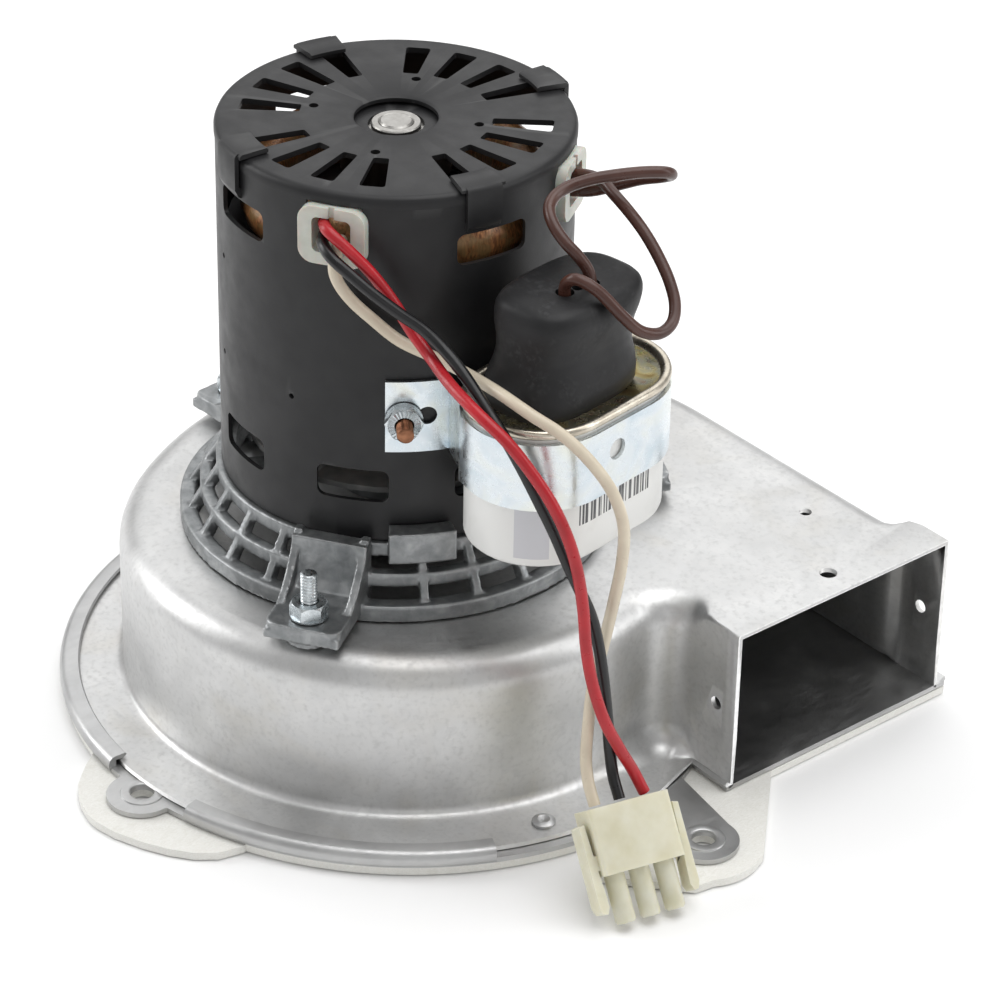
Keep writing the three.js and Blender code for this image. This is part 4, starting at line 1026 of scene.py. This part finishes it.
def slot_outline(angle):
    corners = [(22.4, -1.8), (36.6, -3.0), (36.6, 3.0), (22.4, 1.8)]
    rounds = [0.6, 1.0, 1.0, 0.6]
    points = []
    for i, (corner, radius) in enumerate(zip(corners, rounds)):
        here = Vector(corner)
        back = (Vector(corners[i - 1]) - here).normalized() * radius
        on = (Vector(corners[(i + 1) % 4]) - here).normalized() * radius
        for t in (0, 0.25, 0.5, 0.75, 1):
            p = (here + back) * (1 - t) ** 2 + 2 * here * t * (1 - t) + (here + on) * t * t
            r, a = p.length, math.degrees(math.atan2(p.y, p.x))
            points.append(polar(r, a + angle))
    return points


def make_cap():
    radius, top, sheet = CAP["radius"], CAP["top"], CAP["sheet"]
    bm = bmesh.new()
    section = [(CAP["bore"], top - sheet), (radius - 2.0, top - sheet), (radius - 1.2, top - 2.6),
               (radius, top - 2.9), (radius, top - 1.5), (radius - 0.35, top - 0.7),
               (radius - 0.95, top - 0.2), (radius - 1.8, top), (CAP["bore"] + 0.8, top),
               (CAP["bore"], top - 0.5)]
    closed_lathe(bm, section, 160)
    tools = bmesh.new()
    for quarter in range(4):
        for i in range(4):
            outline = slot_outline(43.3 - 18.8 * i + 90 * quarter)
            prism(tools, outline, 12, Matrix.Translation((0, 0, 145)))
        x, y = polar(19.7, 38 + 90 * quarter)
        rod(tools, 1.15, 145, 157, Matrix.Translation((x, y, 0)), 20)
    cap = boolean(bm, tools)
    cup = [(11.3, 139.5), (13, 139.5), (13, 151.2), (CAP["bore"] + 0.2, 151.2), (11.3, 150.95)]
    closed_lathe(cap, cup, 64)
    closed_lathe(cap, [(6.6, 149.6), (11.2, 149.6), (11.2, 150.3), (6.6, 150.3)], 64)
    finish_piece("cap_disc", cap, "black_paint", ["end_cap"], bevel=0.2, angle=40)


def make_shaft_and_nose():
    bm = bmesh.new()
    closed_lathe(bm, [(0.01, 14), (3.4, 14), (3.97, 14.6), (3.97, 150.8), (3.55, 151.2), (0.01, 151.2)], 64)
    finish_piece("shaft_rod", bm, "turned_steel", ["shaft"], TURNING, bevel=0, angle=30)
    nose = bmesh.new()
    closed_lathe(nose, [(4.06, 141.4), (11, 141.4), (11, 149.3), (5.85, 149.3), (5.85, 150.6),
                        (5.6, 150.9), (4.3, 150.9), (4.06, 150.7)], 64)
    finish_piece("bearing_upper_ring", nose, "turned_steel", ["upper_bearing"], bevel=0, angle=30)


def make_winding(name, bottom, top, lumps):
    """A bundle of coil ends: a ring that swells where each coil passes, laced with cord."""
    bm = bmesh.new()
    middle_z, half = (bottom + top) / 2, (top - bottom) / 2
    columns = 144
    rows = 20
    grid = []
    for i in range(columns):
        angle = 360 * i / columns
        swell = 0.5 + 0.5 * math.cos(math.radians(angle * lumps))
        lacing = 0.35 if i % 9 == 0 else 0
        ring = []
        for j in range(rows):
            a = 2 * math.pi * j / rows
            r = 31 + (5.2 + 1.6 * swell - lacing) * math.cos(a) + 0.25 * math.sin(7 * a + i * 0.5)
            z = middle_z + half * (0.80 + 0.18 * swell - lacing * 0.1) * math.sin(a)
            ring.append(bm.verts.new((*polar(r, angle), z)))
        grid.append(ring)
    join_rings(bm, grid + grid[:1], capped=False)
    finish_piece(name + "_coils", bm, "winding", [name], bevel=0, angle=60)


make_shell()
make_cap()
make_shaft_and_nose()
make_winding("winding_upper", 126.3, 143, 4)
make_winding("winding_lower", 84, 93.7, 4)


# ---- grommets ----

def make_grommet(name, angle):
    """A moulded frame set on the shell, with a square way through for the wires."""
    centre_z = MOTOR["top"] - 0.6 - 7.2
    bm = bmesh.new()
    prism(bm, rounded_rect(16, 14.4, 3.6), 3.0, facing_out(angle, 40.8, centre_z))
    prism(bm, rounded_rect(12.6, 14.0, 2), 5.0, facing_out(angle, 38.2, centre_z))
    tools = bmesh.new()
    prism(tools, rounded_rect(9.2, 8.6, 1.3), 12, facing_out(angle, 34, centre_z + 0.2))
    prism(tools, [(-0.7, 3.9), (0.7, 3.9), (0.7, 9), (-0.7, 9)], 12, facing_out(angle, 42.9, centre_z))
    frame_bm = boolean(bm, tools)
    finish_piece(name + "_frame", frame_bm, "grommet", [name], bevel=0.45, segments=3, angle=40)


for grommet, grommet_angle in GROMMET_ANGLES.items():
    make_grommet(grommet, grommet_angle)


# ---- capacitor, boot and strap ----

CAN_PLACE = Matrix.Translation((CAN["x"], CAN["y"], 0)) @ upright(CAN["turn"])
STRAP = dict(bottom=90, top=107, ear_bottom=87.5, ear_top=106, sheet=0.9, bolt=96.4)
STRAP_EARS = (dict(start=-41.3, end=-18.0, bolt=-35.6), dict(start=44.0, end=22.0, bolt=38))
SPARE_HOLES = (-28.4, 31)  # one in each ear, beside its bolt
BOOT = dict(bottom=109.4, top=135, length=36, width=24, foot_shift=-3, lean=0.13)
BOOT_HOLES = ((2.2, -4.1), (3.4, 3.1))


def stacked_ovals(bm, levels, count=28):
    """A closed form through level outlines of the can: (height, grow) for each."""
    outlines = [(z, oval(grow, count)) for z, grow in levels]
    join_rings(bm, [[bm.verts.new(CAN_PLACE @ Vector((x, y, z))) for x, y in outline]
                    for z, outline in outlines])


def can_label():
    """White wrap with a plain bar pattern and a pale grey panel."""
    s = Surface("can_label", (0.8, 0.8, 0.78), 0.35, 0.0, Coat_Weight=0.3, Coat_Roughness=0.25)
    turn = s.nodes.new("ShaderNodeMapping")
    turn.vector_type = "POINT"
    centre = to_world((CAN["x"], CAN["y"], 0))
    angle = math.radians(CAN["turn"])
    turn.inputs["Rotation"].default_value = (0, 0, -angle)
    cos, sin = math.cos(angle), math.sin(angle)
    turn.inputs["Location"].default_value = (-(centre.x * cos + centre.y * sin),
                                             -(-centre.x * sin + centre.y * cos), 0)
    s.links.new(s.where, turn.inputs["Vector"])
    split = s.nodes.new("ShaderNodeSeparateXYZ")
    s.links.new(turn.outputs["Vector"], split.inputs["Vector"])
    along, height, across = split.outputs["Y"], split.outputs["Z"], split.outputs["X"]

    def between(value, low, high):
        above = s.range(value, low * MM - 1e-5, low * MM, 0, 1)
        below = s.range(value, high * MM, high * MM + 1e-5, 1, 0)
        return s.multiply(above, below)

    outer_side = s.range(across, 0, 0.0001, 0, 1)
    bars = s.nodes.new("ShaderNodeTexNoise")
    bars.noise_dimensions = "1D"
    bars.inputs["Scale"].default_value = 1150
    bars.inputs["Detail"].default_value = 0
    s.links.new(along, bars.inputs["W"])
    stripes = s.range(bars.outputs["Fac"], 0.49, 0.50, 0, 1)
    code = s.multiply(s.multiply(stripes, between(along, -13.7, 11)), between(height, 83.8, 90.5))
    panel = s.multiply(between(along, -24.6, -19.6), between(height, 76.5, 90.5))
    ink = s.mix(s.multiply(panel, outer_side), (0.80, 0.80, 0.78), (0.60, 0.60, 0.63))
    print_ = s.mix(s.multiply(code, outer_side), ink, (0.05, 0.05, 0.055))
    grime = s.noise(7, 4)
    s.color(s.mix(s.range(grime, 0.55, 0.8, 0, 0.3), print_, (0.60, 0.59, 0.56)))
    s.roughness(s.range(grime, 0.3, 0.7, 0.28, 0.42))
    s.bump(s.noise(3, 3), 0.03, 0.4)
    return s.material


MATERIALS["can_label"] = can_label()


LID_LEVELS = [  # height above the can's wall, and how far past it the outline goes
    (0.3, -0.6), (0.3, 0.3), (0.7, 0.95), (1.5, 1.15), (2.3, 0.85), (2.5, 0.3), (2.5, -0.2),
    (2.2, -0.9), (1.4, -1.2), (0.95, -1.6),
]


def make_can():
    bottom, top = CAN["bottom"], CAN["top"]
    bm = bmesh.new()
    stacked_ovals(bm, [(bottom, -2.6), (bottom + 0.1, -1.8), (bottom + 0.5, -0.9), (bottom + 1.1, -0.3),
                       (bottom + 1.9, 0), (84, 0), (92, 0), (100, 0), (top, 0)])
    finish_piece("can_body", bm, "can_label", ["capacitor_can"], bevel=0, angle=50)
    lid = bmesh.new()
    stacked_ovals(lid, [(top + rise, grow) for rise, grow in LID_LEVELS])
    rim = finish_piece("lid_rim", lid, "rim", ["capacitor_lid"], bevel=0, angle=50)
    rim.data.materials.append(MATERIALS["lid"])
    for polygon in rim.data.polygons:
        if abs(polygon.normal.z) > 0.95 and polygon.area > 1e-4 and polygon.center.z > 0.1085:
            polygon.material_index = 1


BOOT_LEVELS = [  # height as a share, half sizes across and along as shares, fullness of the section
    (0.0, 1.03, 0.99, 3.2), (0.05, 1.06, 1.01, 3.2), (0.16, 1.06, 1.01, 3.1),
    (0.26, 1.02, 0.985, 3.0), (0.38, 0.95, 0.945, 2.9), (0.50, 0.915, 0.925, 2.9),
    (0.62, 0.935, 0.935, 3.0), (0.74, 0.985, 0.965, 3.1), (0.84, 1.0, 0.975, 3.2),
    (0.91, 0.985, 0.965, 3.2), (0.955, 0.945, 0.94, 3.1), (0.985, 0.87, 0.895, 3.0),
    (1.0, 0.76, 0.82, 2.9),
]


def boot_level(share):
    for lower, upper in zip(BOOT_LEVELS, BOOT_LEVELS[1:]):
        if share <= upper[0]:
            u = (share - lower[0]) / (upper[0] - lower[0])
            return [a + (b - a) * u for a, b in zip(lower[1:], upper[1:])]


def make_boot():
    """A waisted moulding with a full rounded-box section; it leans, as its foot is off centre."""
    bm = bmesh.new()
    rise = BOOT["top"] - BOOT["bottom"]
    rings = []
    for step in range(41):
        share = step / 40
        across, along, fullness = boot_level(share)
        shift = BOOT["foot_shift"] + BOOT["lean"] * rise * share
        ring = []
        for i in range(72):
            a = 2 * math.pi * i / 72
            c, s = math.cos(a), math.sin(a)
            x = BOOT["width"] / 2 * across * math.copysign(abs(c) ** (2 / fullness), c)
            y = BOOT["length"] / 2 * along * math.copysign(abs(s) ** (2 / fullness), s)
            ring.append(bm.verts.new(CAN_PLACE @ Vector((x, y + shift, BOOT["bottom"] + rise * share))))
        rings.append(ring)
    join_rings(bm, rings)
    tools = bmesh.new()
    first, second = (Vector((*hole, 0)) for hole in BOOT_HOLES)
    for place in (first, second, (first + second) / 2):
        radius = 1.3 if place not in (first, second) else 2.1
        rod(tools, radius, BOOT["top"] - 7, BOOT["top"] + 5, CAN_PLACE @ Matrix.Translation(place))
    boot = boolean(bm, tools)
    finish_piece("boot_moulding", boot, "rubber", ["capacitor_boot"], bevel=0.4,
                 segments=3, angle=55)


def wall_strip(bm, path, bottoms, tops, thickness):
    """An upright sheet strip that follows (x, y) points, with its own foot and head at each."""
    normals = outward(path)
    rows = []
    for (x, y), n, low, high in zip(path, normals, bottoms, tops):
        near = (x - n.x * thickness / 2, y - n.y * thickness / 2)
        far = (x + n.x * thickness / 2, y + n.y * thickness / 2)
        rows.append([bm.verts.new((*near, low)), bm.verts.new((*far, low)),
                     bm.verts.new((*far, high)), bm.verts.new((*near, high))])
    join_rings(bm, rows)


def strap_strip():
    """One strip: an ear on the shell, a bend, right round the outside of the can, and an ear."""
    r = MOTOR["radius"] + 0.3 + STRAP["sheet"] / 2
    band = [tuple((CAN_PLACE @ Vector((x, y, 0))).xy) for x, y in oval(0.3 + STRAP["sheet"] / 2, 24)]
    first, second = STRAP_EARS
    ear_a = arc(r, first["start"], first["end"] - 3, 10)
    ear_b = arc(r, second["end"] + 2, second["start"], 10)
    half = len(band) // 2
    path = ear_a + band[half + 4:] + band[:half - 3] + ear_b
    leaves, returns = len(ear_a), len(path) - len(ear_b)
    bottoms, tops = [], []
    for i in range(len(path)):
        on_band = smoothstep(leaves - 2, leaves + 5, i) * (1 - smoothstep(returns - 6, returns + 1, i))
        dip = 1.4 * on_band * (1 - on_band) * 4
        bottoms.append(STRAP["ear_bottom"] * (1 - on_band) + STRAP["bottom"] * on_band - dip)
        tops.append(STRAP["ear_top"] * (1 - on_band) + STRAP["top"] * on_band)
    bm = bmesh.new()
    wall_strip(bm, path, bottoms, tops, STRAP["sheet"])
    return bm


def make_strap():
    tools = bmesh.new()
    for ear in STRAP_EARS:
        rod(tools, 2.3, 0, 8, facing_out(ear["bolt"], 39, STRAP["bolt"]))
    for angle in SPARE_HOLES:
        rod(tools, 2.3, 0, 8, facing_out(angle, 39, STRAP["bolt"] + 0.6))
    side = CAN_PLACE @ Matrix.Translation((10, -2.5, 100.2)) @ Matrix.Rotation(math.radians(90), 4, "Y")
    rod(tools, 2.6, 0, 12, side)
    finish_piece("strap_band", boolean(strap_strip(), tools), "bright_zinc",
                 ["capacitor_strap"], bevel=0.15, segments=2, angle=50)


def make_strap_fasteners():
    for number, ear in enumerate(STRAP_EARS, 1):
        place = facing_out(ear["bolt"], MOTOR["radius"] + 0.3, STRAP["bolt"])
        nut = hex_nut(place @ Matrix.Translation((0, 0, STRAP["sheet"] + 0.35)), 4.6, 2.7, 2.3, True)
        screw_and_nut("strap", number, "copper_stud", (0.2, 9), place, nut)


make_can()
make_boot()
make_strap()
make_strap_fasteners()


# ---- three-way plug ----

PLUG = dict(pitch=6.35, width=20.6, depth=9.4, body=15.5, tube=11.5, tube_radius=2.45, way_radius=1.5)


def plug_place():
    row = Vector((0.24, 0.97, 0)).normalized()
    up = Vector((-0.61, 0.152, 0.778))
    up = (up - row * up.dot(row)).normalized()
    side = up.cross(row)
    turn = Matrix((row, side, up)).transposed().to_4x4()
    return Matrix.Translation((102.9, -14.9, 22.5)) @ turn


def plug_arm(bm, place, sign):
    """A latch arm beside the plug's body, and the root that joins it on."""
    half, body = PLUG["width"] / 2, PLUG["body"]
    arm = [(1, -3.0), (2.4, -3.4), (2.5, -body - 6.5), (1.9, -body - 8.3), (0.8, -body - 8.5),
           (0.1, -body - 6.8), (0.3, -body - 2), (0.7, -body + 4)]
    root = [(-0.5, -body + 1.5), (1.4, -body + 1.5), (1.4, -body + 5), (-0.5, -body + 5)]
    for section in (arm, root):
        outline = [(sign * (half + x), z) for x, z in section]
        prism(bm, outline, 5.2, place @ Matrix.Translation((0, 2.6, 0)) @ SIDEWAYS)


def make_plug():
    place = plug_place()
    body, tube, radius = PLUG["body"], PLUG["tube"], PLUG["tube_radius"]
    bm = bmesh.new()
    prism(bm, rounded_rect(PLUG["width"], PLUG["depth"], 0.8, 3), body,
          place @ Matrix.Translation((0, 0, -body)))
    taper = [(0.01, -body - tube), (radius - 0.45, -body - tube), (radius - 0.05, -body - tube + 0.6),
             (radius, -body + 1), (0.01, -body + 1)]
    extras, tools = bmesh.new(), bmesh.new()
    for way in (-1, 0, 1):
        shift = Vector((way * PLUG["pitch"], 0, 0))
        for vertex in closed_lathe(extras, taper, 32):
            vertex.co = place @ (vertex.co + shift)
        shifted = place @ Matrix.Translation(shift)
        rod(tools, PLUG["way_radius"], -body - tube - 1, -1.5, shifted)
        rod(tools, LEAD_DIAMETER / 2 + 0.7, -3, 1, shifted)
    for sign in (-1, 1):
        plug_arm(extras, place, sign)
    plug = boolean(boolean(bm, extras, "UNION"), tools)
    return finish_piece("plug_moulding", plug, "nylon", ["plug_housing"], bevel=0.3, segments=2,
                        angle=35)


plug = make_plug()


# ---- CAD nodes that keep their shape take a finished material ----

KEPT_NODES = {
    "lamination": ["stator_core", "rotor_core"], "turned_steel": ["lower_bearing"],
    "fan": ["cooling_fan", "heat_slinger"], "galvanised": ["impeller"], "screw_steel": ["set_screw"],
    "brass": ["terminal_1", "terminal_2", "plug_pin_1", "plug_pin_2", "plug_pin_3"],
}


def dress_kept_nodes():
    for material, nodes in KEPT_NODES.items():
        for node in nodes:
            for material_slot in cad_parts[node].material_slots:
                material_slot.material = MATERIALS[material]


dress_kept_nodes()


# ---- floor and light ----

def make_floor():
    mesh = bpy.data.meshes.new("floor")
    half = 12.0
    corners = [(-half, -half, 0), (half, -half, 0), (half, half, 0), (-half, half, 0)]
    mesh.from_pydata(corners, [], [(0, 1, 2, 3)])
    floor = bpy.data.objects.new("floor", mesh)
    floor.location.z = -0.0004  # just clear of the gasket
    bpy.context.scene.collection.objects.link(floor)
    s = Surface("floor_paper", (0.96, 0.96, 0.96), 0.9)
    s.color(s.ramp(s.noise(800, 2), (0.0, (0.955, 0.955, 0.955)), (1.0, (0.965, 0.965, 0.965))))
    mesh.materials.append(s.material)


def area_light(name, direction, distance, size, power, size_y=None):
    data = bpy.data.lights.new(name, "AREA")
    data.energy = power
    data.shape = "RECTANGLE"
    data.size = size
    data.size_y = size_y or size
    light = bpy.data.objects.new(name, data)
    light.location = Vector(direction).normalized() * distance + Vector((0, 0, 0.08))
    light.rotation_euler = Vector(direction).to_track_quat("Z", "Y").to_euler()
    bpy.context.scene.collection.objects.link(light)


def make_light():
    world = bpy.data.worlds.new("studio")
    bpy.context.scene.world = world
    world.use_nodes = True
    background = world.node_tree.nodes["Background"]
    background.inputs["Color"].default_value = (1, 1, 1, 1)
    background.inputs["Strength"].default_value = 0.45
    area_light("overhead", (0.1, 0.2, 1), 1.3, 1.2, 11)
    area_light("front", (0.75, -0.55, 0.42), 1.6, 1.1, 1, 0.7)
    area_light("behind", (-0.75, 0.5, 0.66), 1.6, 2.3, 7, 0.9)
    area_light("left", (-1.0, -0.75, 0.6), 1.4, 0.5, 7, 1.0)
    area_light("right", (1.0, 0.9, 0.6), 1.4, 0.5, 4, 1.0)
    view = bpy.context.scene.view_settings
    view.view_transform = "Standard"
    view.look = "None"


make_floor()
make_light()
